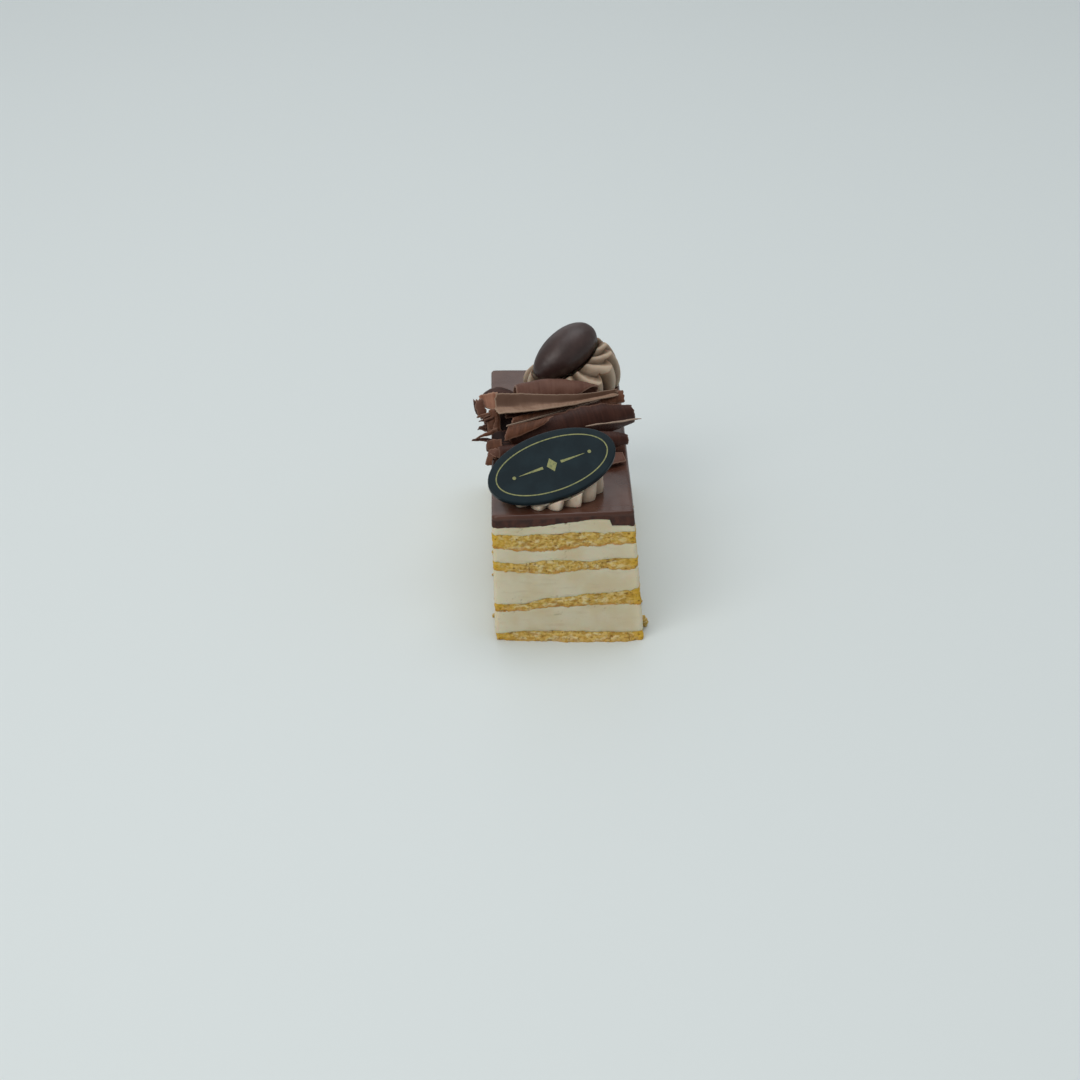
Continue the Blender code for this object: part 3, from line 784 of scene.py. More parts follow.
LEAVES = {
    "shaving_trough": leaf(
        ("shaving_matte", 0.012, 2.0, 0.5), 0.7, (-1.9, -1.7, -1.0, -0.6),
        ((-19.9, -11.1, 50.4), (-10.3, -9.4, 50.4), (2.0, -3.9, 50.0), (16.2, 3.8, 49.9)),
        ((-21.0, -1.8, 53.0), (-12.0, -0.2, 52.2), (3.0, 0.9, 51.4), (15.8, 5.8, 51.0)), fold=0.56,
    ),
    "shaving_strip": leaf(
        ("shaving_warm", 0.01, 1.8, 0.4), 0.6, (0.3, 0.3, 0.3, 0.3),
        ((-16.5, -12.9, 47.8), (-7.4, -7.0, 47.8), (4.2, 0.9, 47.8), (16.6, 8.6, 48.1)),
        ((-15.8, -10.6, 48.8), (-7.0, -4.6, 48.8), (4.2, 3.2, 48.7), (16.2, 10.4, 48.8)),
    ),
    # pale: a painted highlight along this edge-on flake
    "shaving_edge": leaf(
        ("shaving_lip_highlight", 0.01, 1.2, 0.3), 0.5, (0.2, 0.2, 0.1),
        ((4.6, -11.0, 46.4), (14.0, -7.9, 46.2), (22.2, -5.1, 46.3)),
        ((6.5, -9.4, 45.6), (14.0, -5.9, 45.2), (20.2, -4.6, 45.8)),
    ),
    "shaving_flat": leaf(
        ("shaving_brown", 0.01, 0.8, 0.7), 0.5, (0.2, 0.3, 0.2),
        ((8.5, -25.0, 39.8), (13.0, -23.2, 39.8), (16.8, -21.0, 39.9)),
        ((9.0, -17.6, 41.0), (13.0, -17.2, 41.2), (15.8, -17.0, 41.0)),
    ),
    "shaving_left": leaf(
        ("shaving_dark", 0.02, 1.6, 1.0), 0.5, (0.1, 0.5, 0.1),
        ((-25.8, -3.0, 42.4), (-20.0, -4.7, 40.9), (-13.6, -6.2, 39.2)),
        ((-25.4, -2.2, 42.9), (-20.0, -0.4, 42.2), (-13.6, -4.4, 39.8)),
    ),
    "shaving_spike": leaf(
        ("shaving_dark", 0.01, 0.9, 0.5), 0.5, (0.1, 0.2, 0.1),
        ((-27.3, -11.2, 42.2), (-23.0, -9.8, 41.2), (-17.6, -8.9, 39.2)),
        ((-27.0, -10.6, 42.4), (-23.0, -8.0, 41.8), (-17.6, -7.2, 39.5)),
    ),
    "shaving_flap": leaf(
        ("shaving_dark", 0.015, 1.0, 1.0), 0.5, (0.2, 0.3, 0.2),
        ((-26.5, 6.4, 48.4), (-26.3, 4.6, 46.4), (-25.6, 2.8, 44.2)),
        ((-24.2, 1.0, 48.8), (-23.6, 0.9, 46.2), (-23.4, 0.7, 43.4)),
    ),
}
# Broken sheets that lie between those above, most of them at the heap's left end
FRAGMENTS = {
    # pale orange: painted light on the arch's lining
    "fragment_lining": leaf(
        ("shaving_lining", 0.015, 1.2, 1.0), 0.5, (-0.3, -0.6, -0.5),
        ((-24.6, -1.6, 49.8), (-22.0, -2.5, 47.8), (-18.6, -3.2, 47.5)),
        ((-25.3, 0.6, 51.0), (-22.8, 1.6, 52.0), (-18.6, 2.6, 52.1)),
    ),
    "fragment_flap": leaf(
        ("shaving_brown", 0.01, 1.2, 1.2), 0.5, (0.3, 0.6, 0.6, 0.3),
        ((-25.9, -1.5, 51.5), (-26.4, -2.0, 49.4), (-26.1, -2.5, 47.5), (-25.0, -3.0, 45.8)),
        ((-24.0, 0.0, 51.4), (-22.9, -1.0, 49.6), (-22.2, -2.3, 47.7), (-22.0, -3.3, 45.8)),
    ),
    "fragment_wall": leaf(
        ("shaving_warm", 0.02, 1.4, 1.7), 0.5, (0.7, 1.1, 0.7, 0.8),
        ((-22.6, -3.0, 48.8), (-21.9, -4.5, 47.3), (-22.9, -6.0, 46.0), (-22.9, -7.6, 42.4)),
        ((-19.2, -3.4, 48.8), (-18.8, -5.2, 47.8), (-19.0, -6.5, 46.3), (-18.2, -8.4, 42.4)),
    ),
    "fragment_crease": leaf(
        ("shaving_warm", 0.01, 1.2, 0.7), 0.45, (0.5, 0.8, 0.6, 0.4),
        ((-21.4, -4.8, 48.2), (-20.4, -6.4, 46.6), (-21.2, -7.8, 44.8), (-20.4, -9.2, 42.6)),
        ((-19.6, -4.4, 48.8), (-18.4, -6.0, 47.4), (-18.2, -7.8, 45.4), (-17.4, -9.2, 43.2)),
    ),
    "fragment_spike": leaf(
        ("shaving_warm", 0.01, 0.3, 0.8), 0.45, (0.1, 0.3, 0.4),
        ((-26.0, -10.2, 42.1), (-23.6, -9.8, 42.5), (-19.2, -9.2, 43.0)),
        ((-25.8, -10.0, 42.4), (-23.4, -9.0, 43.9), (-19.4, -8.2, 45.6)),
    ),
    "fragment_barb": leaf(
        ("shaving_dark", 0.01, 0.3, 0.7), 0.4, (0.1, 0.2, 0.3),
        ((-25.4, -7.0, 43.7), (-23.6, -7.0, 44.1), (-20.4, -6.6, 44.6)),
        ((-25.1, -6.8, 44.1), (-23.6, -6.5, 45.3), (-20.4, -6.0, 46.5)),
    ),
    "fragment_sliver": leaf(
        ("shaving_dark", 0.01, 0.3, 0.4), 0.4, (0.1, 0.2, 0.2),
        ((-25.0, -4.5, 45.2), (-23.5, -4.8, 45.3), (-21.0, -5.2, 45.6)),
        ((-24.8, -4.4, 45.5), (-23.5, -4.4, 46.1), (-21.0, -4.8, 46.7)),
    ),
    "fragment_chip": leaf(
        ("shaving_warm", 0.01, 0.3, 0.5), 0.4, (0.1, 0.2, 0.2),
        ((-25.6, -3.6, 46.0), (-24.2, -3.7, 46.1), (-21.6, -3.9, 46.6)),
        ((-25.4, -3.4, 46.3), (-24.2, -3.2, 47.1), (-21.6, -3.2, 48.0)),
    ),
    # near-black sheet: painted shade in the heap's hollow
    "fragment_dark": leaf(
        ("shaving_painted_shade", 0.01, 1.6, 1.0), 0.6, (0.3, -1.0, -0.6),
        ((-22.4, -7.0, 42.6), (-17.4, -7.6, 42.6), (-12.6, -6.6, 42.8)),
        ((-22.8, -1.0, 47.4), (-18.0, -1.2, 48.2), (-12.6, -0.8, 48.2)),
    ),
    "fragment_tongue": leaf(
        ("shaving_warm", 0.012, 1.2, 0.5), 0.5, (0.9, 0.9, 0.7, 0.4),
        ((-18.2, -16.5, 44.0), (-14.6, -16.0, 44.9), (-10.4, -14.6, 46.2), (-5.4, -12.4, 48.0)),
        ((-16.8, -13.0, 47.3), (-13.4, -12.0, 47.9), (-9.0, -10.8, 48.3), (-2.4, -9.6, 49.2)),
    ),
    # near-black sheet: painted shade in the heap's hollow
    "fragment_gap": leaf(
        ("shaving_painted_shade", 0.01, 1.0, 1.5), 0.5, (0.1, -0.3, -0.4, -0.2),
        ((-21.6, -12.0, 42.2), (-19.8, -13.6, 40.9), (-16.2, -14.6, 41.7), (-11.0, -13.4, 42.0)),
        ((-21.2, -10.6, 43.9), (-19.4, -9.7, 45.6), (-16.6, -9.6, 45.4), (-11.0, -9.4, 46.4)),
    ),
    # near-black sheet: painted shade in the heap's hollow
    "fragment_under": leaf(
        ("shaving_painted_shade", 0.01, 0.8, 0.6), 0.5, (0.1, 0.2, 0.2),
        ((-21.6, -17.6, 38.9), (-18.6, -18.4, 38.9), (-15.0, -19.0, 38.9)),
        ((-21.4, -13.6, 42.6), (-18.6, -13.6, 43.0), (-15.0, -13.8, 43.4)),
    ),
    # a pale narrow sheet along the strip's lower edge: a painted highlight
    "fragment_lip_highlight": leaf(
        ("shaving_lip_highlight", 0.004, 0.4, 0.12), 0.4, (0.1, 0.1, 0.1, 0.1),
        ((-17.2, -13.6, 47.5), (-7.6, -7.5, 47.5), (4.0, 0.4, 47.5), (16.9, 8.3, 47.9)),
        ((-17.1, -13.4, 48.0), (-7.5, -7.2, 48.1), (4.1, 0.6, 48.1), (17.0, 8.4, 48.4)),
    ),
    "fragment_foot": leaf(
        ("shaving_warm", 0.01, 1.6, 1.6), 0.45, (0.4, 0.7, 0.5),
        ((-22.6, -16.2, 41.1), (-20.8, -16.7, 41.0), (-17.4, -16.9, 41.4)),
        ((-22.9, -14.8, 42.6), (-21.2, -13.5, 44.0), (-17.4, -13.0, 44.2)),
    ),
    "fragment_hem": leaf(
        ("shaving_brown", 0.01, 1.6, 1.8), 0.4, (0.3, 0.5, 0.4),
        ((-22.9, -18.6, 39.8), (-21.2, -19.0, 39.5), (-18.0, -18.6, 39.9)),
        ((-22.3, -16.4, 41.9), (-20.8, -16.0, 42.4), (-18.0, -15.8, 42.6)),
    ),
    "fragment_tatter": leaf(
        ("shaving_warm", 0.01, 0.8, 1.8), 0.4, (0.3, 0.5, 0.3),
        ((-23.4, -20.2, 38.5), (-22.2, -20.4, 38.1), (-20.9, -20.2, 38.4)),
        ((-22.6, -17.8, 40.6), (-21.6, -17.6, 40.8), (-20.7, -17.6, 41.0)),
    ),
    "fragment_top": leaf(
        ("shaving_dark", 0.01, 1.4, 0.8), 0.5, (0.5, 0.4, 0.3),
        ((-18.0, -7.0, 46.6), (-8.0, -4.4, 47.2), (3.0, -0.4, 47.6)),
        ((-18.6, -3.4, 48.4), (-8.0, -0.4, 48.8), (3.0, 2.4, 48.8)),
    ),
    "fragment_right": leaf(
        ("shaving_warm", 0.012, 1.4, 0.9), 0.5, (0.6, 0.8, 0.7),
        ((9.4, 0.6, 47.4), (13.4, 2.4, 47.2), (17.6, 4.2, 46.6)),
        ((9.0, 4.6, 49.2), (13.4, 6.2, 49.8), (17.2, 7.4, 50.4)),
    ),
}
# Size of the sheets' grid, in millimetres
SHEET_GRID = 0.3
SEED_STEP = 5.3  # between one sheet's noise and the next one's


def roll_point(spec, s, t):
    """A point of a roll's sheet, s along its axis and t from the free edge inwards."""
    line = spec["line"]
    start, end = Vector(line[0][:3]), Vector(line[-1][:3])
    along = (end - start).normalized()
    up = (Vector((0, 0, 1)) - along * along.z).normalized()
    front = along.cross(up)
    x, y, z, radius, free, inner = spline(line, s)
    angle = math.radians(blend(free, inner, t))
    radius *= 1 - spec["inward"] * t
    return Vector((x, y, z)) + (front * math.cos(angle) + up * math.sin(angle)) * radius


def leaf_point(spec, s, t):
    """A point of a leaf, s along its edges and t from the near one to the far one."""
    near, far = spline(spec["near"], s), spline(spec["far"], s)
    bulge = spline([(value, 0) for value in spec["bulge"]], s).x
    along = spline(spec["near"], 1.0) - spline(spec["near"], 0.0)
    out = along.cross(far - near).normalized()
    rise = 4 * t * (1 - t)
    if spec["fold"]:
        rise = t / spec["fold"] if t < spec["fold"] else (1 - t) / (1 - spec["fold"])
        rise = blend(rise, smooth_step(rise), 0.6)
    return near.lerp(far, t) + out * (bulge * rise)


def jag(place, seed):
    """An uneven share from 0 to 1 along a broken edge: steps, teeth and small chips."""
    steps = 0.5 + 0.5 * noise.noise(Vector((place / 2.6, seed, 0)))
    teeth = 0.5 + 0.5 * noise.noise(Vector((place / 0.9, seed, 5)))
    return clamp(0.62 * round(steps * 4) / 4 + 0.45 * teeth)


def make_sheet(name, place, length, width, thick, ribs, ragged, frayed, material, node, seed):
    """A thin broken sheet: place(s, t) gives its middle surface."""
    across = max(6, round(width / SHEET_GRID))
    along = max(8, round(length / SHEET_GRID))
    middle = []
    for i in range(along + 1):
        row = []
        for j in range(across + 1):
            s, t = i / along, j / across
            left = ragged * jag(t * width, seed + 1.3) / length
            right = ragged * jag(t * width, seed + 7.7) / length
            near = frayed * jag(s * length, seed + 3.1) / width
            far = frayed * jag(s * length, seed + 9.2) / width
            s2, t2 = blend(left, 1 - right, s), blend(near, 1 - far, t)
            row.append((place(s2, t2), s2 * length, t2 * width, s * length, t * width))
        middle.append(row)
    points, edges, alongs, rounds, shares = [], [], [], [], []
    for face in (1, -1):
        for i in range(along + 1):
            for j in range(across + 1):
                here, s_mm, t_mm, s_own, t_own = middle[i][j]
                ahead, behind = middle[min(i + 1, along)][j][0], middle[max(i - 1, 0)][j][0]
                above, below = middle[i][min(j + 1, across)][0], middle[i][max(j - 1, 0)][0]
                normal = (ahead - behind).cross(above - below)
                normal = normal.normalized() if normal.length > 1e-9 else Vector((0, 0, 1))
                border = min(s_own, length - s_own, t_own, width - t_own)
                half = thick / 2 * (0.45 + 0.55 * smooth_step(border / 0.9))
                half *= 1 + 0.3 * noise.noise(Vector((s_mm / 3, t_mm / 3, seed)))
                bent = 4 * noise.noise(Vector((s_mm / 4, t_mm / 6, seed)))
                rib = ribs * math.sin(s_mm * math.tau / 0.95 + bent)
                rib += 1.5 * ribs * noise.noise(Vector((s_mm / 0.5, t_mm / 8, seed + 2)))
                ripple = noise.noise(Vector((s_mm / 3.5, t_mm / 3.5, seed + 4)))
                ripple *= 0.1 + 0.22 * frayed
                points.append(here + normal * (face * half + rib + ripple))
                # the edge mask lightens the rims as a painted highlight
                edges.append(smooth_step(1 - border / 0.55))
                alongs.append(s_mm)
                rounds.append(t_mm)
                shares.append(t_mm / width)
    faces = slab_faces(along, across)
    attributes = {"edge": edges, "along": alongs, "round": rounds, "across": shares}
    make_piece(name, points, faces, material, (node,) if node else (), attributes)


def make_shavings(materials):
    sheets = {**ROLLS, **LEAVES, **FRAGMENTS}
    for index, (name, spec) in enumerate(sheets.items()):
        look, ribs, ragged, frayed = spec["finish"]
        if name in ROLLS:
            line = spec["line"]
            length = (Vector(line[-1][:3]) - Vector(line[0][:3])).length
            radius = sum(station[3] for station in line) / len(line)
            turn = sum(abs(station[5] - station[4]) for station in line) / len(line)
            width = math.radians(turn) * radius * (1 - spec["inward"] / 2)
            shape = roll_point
        else:
            length = (Vector(spec["near"][-1]) - Vector(spec["near"][0])).length
            width = (Vector(spec["far"][1]) - Vector(spec["near"][1])).length
            shape = leaf_point
        frayed = min(frayed, 0.3 * width)
        ragged = min(ragged, 0.2 * length)
        node = None if name in FRAGMENTS else name
        make_sheet(
            name + "_sheet", lambda s, t: shape(spec, s, t), length, width, spec["thick"],
            ribs, ragged, frayed, materials[look], node, index * SEED_STEP,
        )


# Splinters and crumbs

# Where splinters lie: middle of a group, its spread, how many, shortest and longest, look
SPLINTERS = {
    "splinters_left": ((-22.4, -5.0, 44.8), (0.8, 3.0, 2.4), 9, (1.4, 2.8), "shaving_dark"),
    "splinters_foot": ((-20.9, -17.4, 40.8), (1.0, 2.2, 1.2), 9, (1.0, 2.0), "shaving_warm"),
    "splinters_back": ((8.0, 14.5, 40.4), (7.0, 4.0, 0.8), 8, (1.2, 2.6), "shaving_brown"),
}


def splinter(points, faces, edges, place, length, width, thick, turn, lift, draw):
    """Adds one thin pointed chip to a mesh: a bent, tapered sliver with closed sides."""
    steps, sides = 9, 5
    turned = Matrix.Rotation(turn, 3, "Z") @ Matrix.Rotation(lift, 3, "Y")
    turned = turned @ Matrix.Rotation(draw.uniform(-0.9, 0.9), 3, "X")
    bend = draw.uniform(-0.35, 0.35) * length
    curl = draw.uniform(0.1, 0.6) * width
    seed = draw.uniform(0, 90)
    first = len(points)
    for face in (1, -1):
        for i in range(steps + 1):
            s = i / steps
            uneven = 0.85 + 0.5 * noise.noise(Vector((s * 4, seed, 0)))
            half = width / 2 * (1 - 0.75 * s ** 1.6) * uneven
            for j in range(sides + 1):
                t = 2 * j / sides - 1
                notch = 0.3 * width * noise.noise(Vector((s * 5, t * 2, seed)))
                x = length * (s - 0.5) + notch * (1 if i in (0, steps) else 0)
                z = bend * (s - 0.5) ** 2 + curl * t * t + face * thick / 2 * (1 - 0.5 * abs(t))
                spot = place + turned @ Vector((x, half * t, z))
                floor = top_height(spot.x, spot.y) + 0.1
                over_top = TOP_LEFT < spot.x < TOP_RIGHT
                points.append((spot.x, spot.y, max(spot.z, floor) if over_top else spot.z))
                # the edge mask lightens the rims as a painted highlight
                edges.append(1.0 if i in (0, steps) or j in (0, sides) else 0.0)
    faces += slab_faces(steps, sides, first)


def make_splinters(materials):
    for name, (middle, spread, count, lengths, look) in SPLINTERS.items():
        draw = random.Random(name)
        points, faces, edges = [], [], []
        outward = math.pi if middle[0] < 0 else 0.0
        for _ in range(count):
            offset = Vector([part * draw.uniform(-1, 1) for part in spread])
            length = draw.uniform(*lengths)
            splinter(
                points, faces, edges, Vector(middle) + offset, length,
                length * draw.uniform(0.4, 0.8), draw.uniform(0.25, 0.4),
                outward + draw.uniform(-0.7, 0.7), draw.uniform(-0.5, 0.6), draw,
            )
        attributes = {"edge": edges}
        make_piece(name, points, faces, materials[look], (), attributes)


# Middle and radius of each loose crumb of sponge
CRUMBS = {
    "crumbs_foot": (
        (20.9, -43.6, 1.2, 1.3), (20.6, -45.6, 2.9, 1.0), (21.1, -42.2, 0.8, 0.9),
        (20.6, -30.0, 0.6, 0.6), (-20.8, -38.0, 0.5, 0.6), (-20.9, -12.0, 0.4, 0.5),
        (20.7, 8.0, 0.5, 0.55), (-8.0, 52.1, 0.5, 0.6), (9.0, 52.2, 0.4, 0.5),
    ),
    "crumbs_wall": (
        (-20.9, -51.0, 26.6, 0.45), (-20.9, -50.2, 28.2, 0.35), (-21.0, -20.0, 17.4, 0.4),
        (18.9, -14.0, 22.6, 0.45), (-20.9, 16.0, 28.6, 0.4), (18.7, 30.0, 24.2, 0.4),
    ),
}


def make_crumbs(material):
    """Rough little lumps of sponge that cling to the walls and their foot."""
    rings, around = 16, 26
    for name, lumps in CRUMBS.items():
        points, faces, hollows = [], [], []
        for x, y, z, radius in lumps:
            first = len(points)
            for out in ball(rings, around):
                reach = Vector(out) * radius
                spot = Vector((x, y, z)) + reach
                rough = 1 + 0.4 * noise.noise(spot * 1.1 / radius)
                rough += 0.25 * noise.noise(spot * 2.6 / radius)
                spot = Vector((x, y, z)) + reach * rough
                points.append((spot.x, spot.y, max(spot.z, 0.0)))
                # dents are darkened by the sponge's hollow tint: painted shade in them
                hollows.append(clamp(1.0 - rough))
            for face in ring_faces_down(rings + 1, around):
                faces.append(tuple(first + corner for corner in face))
        attributes = {"hollow": hollows}
        make_piece(name, points, faces, material, (), attributes)


# Floor, light and camera

def make_floor(material):
    mesh = bpy.data.meshes.new("floor")
    reach = 3.0
    corners = [(-reach, -reach, 0), (reach, -reach, 0), (reach, reach, 0), (-reach, reach, 0)]
    mesh.from_pydata(corners, [], [(0, 1, 2, 3)])
    mesh.materials.append(material)
    floor = bpy.data.objects.new("floor", mesh)
    bpy.context.scene.collection.objects.link(floor)


def add_area_light(name, place, size, power, colour):
    light = bpy.data.lights.new(name, "AREA")
    light.shape = "SQUARE"
    light.size = size
    light.energy = power
    light.color = colour
    lamp = bpy.data.objects.new(name, light)
    lamp.location = place
    lamp.rotation_euler = (Vector((0, 0, 0.03)) - Vector(place)).to_track_quat("-Z", "Y").to_euler()
    bpy.context.scene.collection.objects.link(lamp)


def make_light():
    world = bpy.data.worlds.new("studio")
    world.use_nodes = True
    background = world.node_tree.nodes["Background"]
    background.inputs["Color"].default_value = (0.93, 0.98, 1.0, 1)
    background.inputs["Strength"].default_value = 0.4
    bpy.context.scene.world = world
    add_area_light("key", (-0.6, -0.7, 0.9), 0.7, 4.8, (1.0, 0.98, 0.95))
    add_area_light("top", (0.1, 0.25, 1.2), 0.9, 4.8, (0.97, 0.98, 1.0))
    add_area_light("back", (-0.35, 1.1, 0.75), 0.9, 1.1, (0.97, 0.98, 1.0))
    bpy.context.scene.view_settings.view_transform = "Standard"


def make_camera():
    """The photograph's viewing angle, from a fit of the block's corners."""
    focal_px, photo_px, sensor, distance = 2618.0, 1080, 36, 734.0
    pitch, yaw = math.radians(25.69), math.radians(1.0)
    aim = Vector((-7.82, -29.93, 20.0))
    ahead = Vector((math.sin(yaw) * math.cos(pitch), math.cos(yaw) * math.cos(pitch), -math.sin(pitch)))
    right = Vector((math.cos(yaw), -math.sin(yaw), 0))
    up = right.cross(ahead)
    place = (aim - ahead * distance) * MM
    data = bpy.data.cameras.new("camera")
    data.sensor_width = sensor
    data.lens = focal_px / photo_px * sensor
    camera = bpy.data.objects.new("camera", data)
    turned = Matrix((right, up, -ahead)).transposed().to_4x4()
    camera.matrix_world = Matrix.Translation(place) @ turned
    bpy.context.scene.collection.objects.link(camera)
    bpy.context.scene.camera = camera


# Materials

# Dark and light tone of the piped cream, and the painted highlight on its crests
PIPED_LOOKS = {
    "piped_cream_light": ((0.49, 0.37, 0.27), (0.62, 0.49, 0.375), (0.7, 0.58, 0.45)),
    "piped_cream_mocha": ((0.18, 0.118, 0.073), (0.25, 0.172, 0.112), (0.58, 0.46, 0.34)),
}
# Dark and light tone, the painted highlight on the broken edges, roughness and, if it differs, the painted
# shade beyond a fold
SHAVING_LOOKS = {
    # near black: painted shade, for sheets that fill shaded hollows of the heap
    "shaving_painted_shade": ((0.012, 0.004, 0.003), (0.03, 0.01, 0.006), (0.09, 0.04, 0.027), 0.6),
    "shaving_dark": ((0.032, 0.009, 0.005), (0.066, 0.022, 0.013), (0.2, 0.105, 0.072), 0.5),
    "shaving_brown": ((0.1, 0.038, 0.023), (0.155, 0.07, 0.046), (0.3, 0.18, 0.13), 0.5),
    # its far tone is painted shade on the trough's far wall
    "shaving_matte": (
        (0.22, 0.125, 0.08), (0.34, 0.215, 0.15), (0.4, 0.28, 0.2), 0.65, (0.1, 0.05, 0.03),
    ),
    "shaving_warm": ((0.065, 0.022, 0.009), (0.165, 0.064, 0.033), (0.27, 0.15, 0.105), 0.55),
    # lighter orange: painted light on the arch's lit lining and through its thin chocolate
    "shaving_lining": ((0.24, 0.1, 0.06), (0.39, 0.19, 0.118), (0.46, 0.28, 0.2), 0.55),
    # pale: a painted highlight along the edges of thin sheets
    "shaving_lip_highlight": ((0.22, 0.14, 0.1), (0.34, 0.24, 0.18), (0.4, 0.3, 0.23), 0.6),
}


class Nodes:
    """A short way to write a Principled material's nodes."""

    def __init__(self, name, roughness, **constants):
        self.material = bpy.data.materials.new(name)
        self.material.use_nodes = True
        self.tree = self.material.node_tree
        self.shader = self.tree.nodes["Principled BSDF"]
        self.shader.inputs["Roughness"].default_value = roughness
        for key, value in constants.items():
            self.shader.inputs[key.replace("_", " ")].default_value = value
        self.position = self.add("ShaderNodeTexCoord").outputs["Object"]

    def add(self, kind, **settings):
        node = self.tree.nodes.new(kind)
        for key, value in settings.items():
            setattr(node, key, value)
        return node

    def link(self, source, target):
        self.tree.links.new(source, target)

    def attribute(self, name):
        return self.add("ShaderNodeAttribute", attribute_name=name).outputs["Fac"]

    def noise(self, size, detail=4.0, vector=None, stretch=(1, 1, 1)):
        """Noise whose bumps are "size" millimetres apart."""
        scale = self.add("ShaderNodeVectorMath", operation="MULTIPLY")
        self.link(vector or self.position, scale.inputs[0])
        unit = 1 if vector else 1000
        scale.inputs[1].default_value = [unit / size * part for part in stretch]
        texture = self.add("ShaderNodeTexNoise")
        texture.inputs["Scale"].default_value = 1.0
        texture.inputs["Detail"].default_value = detail
        self.link(scale.outputs[0], texture.inputs["Vector"])
        return texture.outputs["Fac"]

    def ramp(self, value, low, high, to_low=0.0, to_high=1.0):
        node = self.add("ShaderNodeMapRange", interpolation_type="SMOOTHSTEP")
        self.link(value, node.inputs["Value"])
        ends = {"From Min": low, "From Max": high, "To Min": to_low, "To Max": to_high}
        for key, number in ends.items():
            node.inputs[key].default_value = number
        return node.outputs["Result"]

    def mix(self, share, first, second):
        node = self.add("ShaderNodeMix", data_type="RGBA")
        self.link(share, node.inputs["Factor"])
        for key, value in (("A", first), ("B", second)):
            socket = [item for item in node.inputs if item.name == key and item.type == "RGBA"][0]
            if isinstance(value, tuple):
                socket.default_value = (*value, 1.0)
            else:
                self.link(value, socket)
        return [item for item in node.outputs if item.type == "RGBA"][0]

    def mottle(self, first, second, size, detail, low, high, most=1.0, stretch=(1, 1, 1)):
        """Patches of the second colour where noise goes from low to high, at most that strong."""
        patches = self.noise(size, detail, stretch=stretch)
        return self.mix(self.ramp(patches, low, high, 0.0, most), first, second)

    def tint(self, name, most, base, colour):
        """Another colour where a point attribute is high, at most that strong."""
        share = self.add("ShaderNodeMath", operation="MULTIPLY")
        self.link(self.attribute(name), share.inputs[0])
        share.inputs[1].default_value = most
        return self.mix(share.outputs[0], base, colour)

    def colour(self, value):
        self.link(value, self.shader.inputs["Base Color"])

    def bump(self, value, height):
        """Bump from a value, "height" millimetres from its 0 to its 1."""
        node = self.add("ShaderNodeBump")
        node.inputs["Strength"].default_value = 1.0
        node.inputs["Distance"].default_value = height * MM
        self.link(value, node.inputs["Height"])
        current = self.shader.inputs["Normal"]
        if current.is_linked:
            self.link(current.links[0].from_socket, node.inputs["Normal"])
        self.link(node.outputs["Normal"], current)

    def roughness(self, value):
        self.link(value, self.shader.inputs["Roughness"])


def sponge_material():
    nodes = Nodes("sponge", 0.85, Subsurface_Weight=0.12, Subsurface_Scale=0.001, Specular_IOR_Level=0.2)
    base = nodes.mottle((0.5, 0.3, 0.06), (0.7, 0.49, 0.15), 1.1, 6, 0.38, 0.62, stretch=(1, 1, 1.6))
    base = nodes.mottle(base, (0.76, 0.64, 0.35), 2.6, 4, 0.5, 0.62, 0.75, stretch=(1, 1, 1.8))
    base = nodes.mottle(base, (0.38, 0.2, 0.04), 2.1, 5, 0.54, 0.66, 0.75, stretch=(0.8, 0.8, 1.7))
    # towards the block's upright edges: a painted highlight where their rounding catches light
    base = nodes.tint("corner", 0.75, base, (0.68, 0.4, 0.03))
    base = nodes.tint("bake", 0.8, base, (0.5, 0.23, 0.06))
    # darker pores and clefts: painted shade in them
    hollow = nodes.ramp(nodes.attribute("hollow"), 0.15, 0.95, 0.0, 0.8)
    base = nodes.mix(hollow, base, (0.25, 0.11, 0.018))
    base = nodes.mottle(base, (0.34, 0.19, 0.035), 0.6, 4, 0.56, 0.7, 0.5, stretch=(1, 1, 1.5))
    nodes.colour(base)
    nodes.bump(nodes.noise(0.5, 5), 0.15)
    return nodes.material


def cream_material():
    nodes = Nodes("cream", 0.6, Subsurface_Weight=0.3, Subsurface_Scale=0.002, Specular_IOR_Level=0.35)
    base = nodes.mottle((0.64, 0.54, 0.35), (0.68, 0.61, 0.44), 8.0, 3, 0.35, 0.65)
    base = nodes.mottle(base, (0.55, 0.45, 0.29), 2.4, 5, 0.52, 0.75, 0.4, stretch=(0.4, 0.4, 2.0))
    # darker tears: painted shade in them
    base = nodes.tint("hollow", 0.8, base, (0.34, 0.25, 0.14))
    # lighter along the block's upright edges: a painted highlight
    base = nodes.tint("corner", 0.35, base, (0.85, 0.78, 0.58))
    # small dark dots: painted shade of tiny pits
    base = nodes.mottle(base, (0.4, 0.31, 0.18), 0.55, 2, 0.72, 0.8, 0.5)
    nodes.colour(base)
    nodes.bump(nodes.noise(1.4, 4), 0.08)
    nodes.bump(nodes.noise(0.35, 3), 0.03)
    return nodes.material


def ganache_material():
    nodes = Nodes("ganache", 0.24, IOR=1.48, Specular_IOR_Level=0.4)
    top = nodes.mottle((0.075, 0.027, 0.016), (0.1, 0.042, 0.027), 9.0, 4, 0.35, 0.65)
    cut = nodes.mottle((0.03, 0.009, 0.005), (0.075, 0.022, 0.011), 1.6, 6, 0.35, 0.7, stretch=(1, 1, 0.7))
    nodes.colour(nodes.mix(nodes.attribute("cut"), top, cut))
    nodes.roughness(nodes.ramp(nodes.attribute("cut"), 0.0, 1.0, 0.24, 0.62))
    nodes.bump(nodes.noise(3.0, 3), 0.02)
    return nodes.material


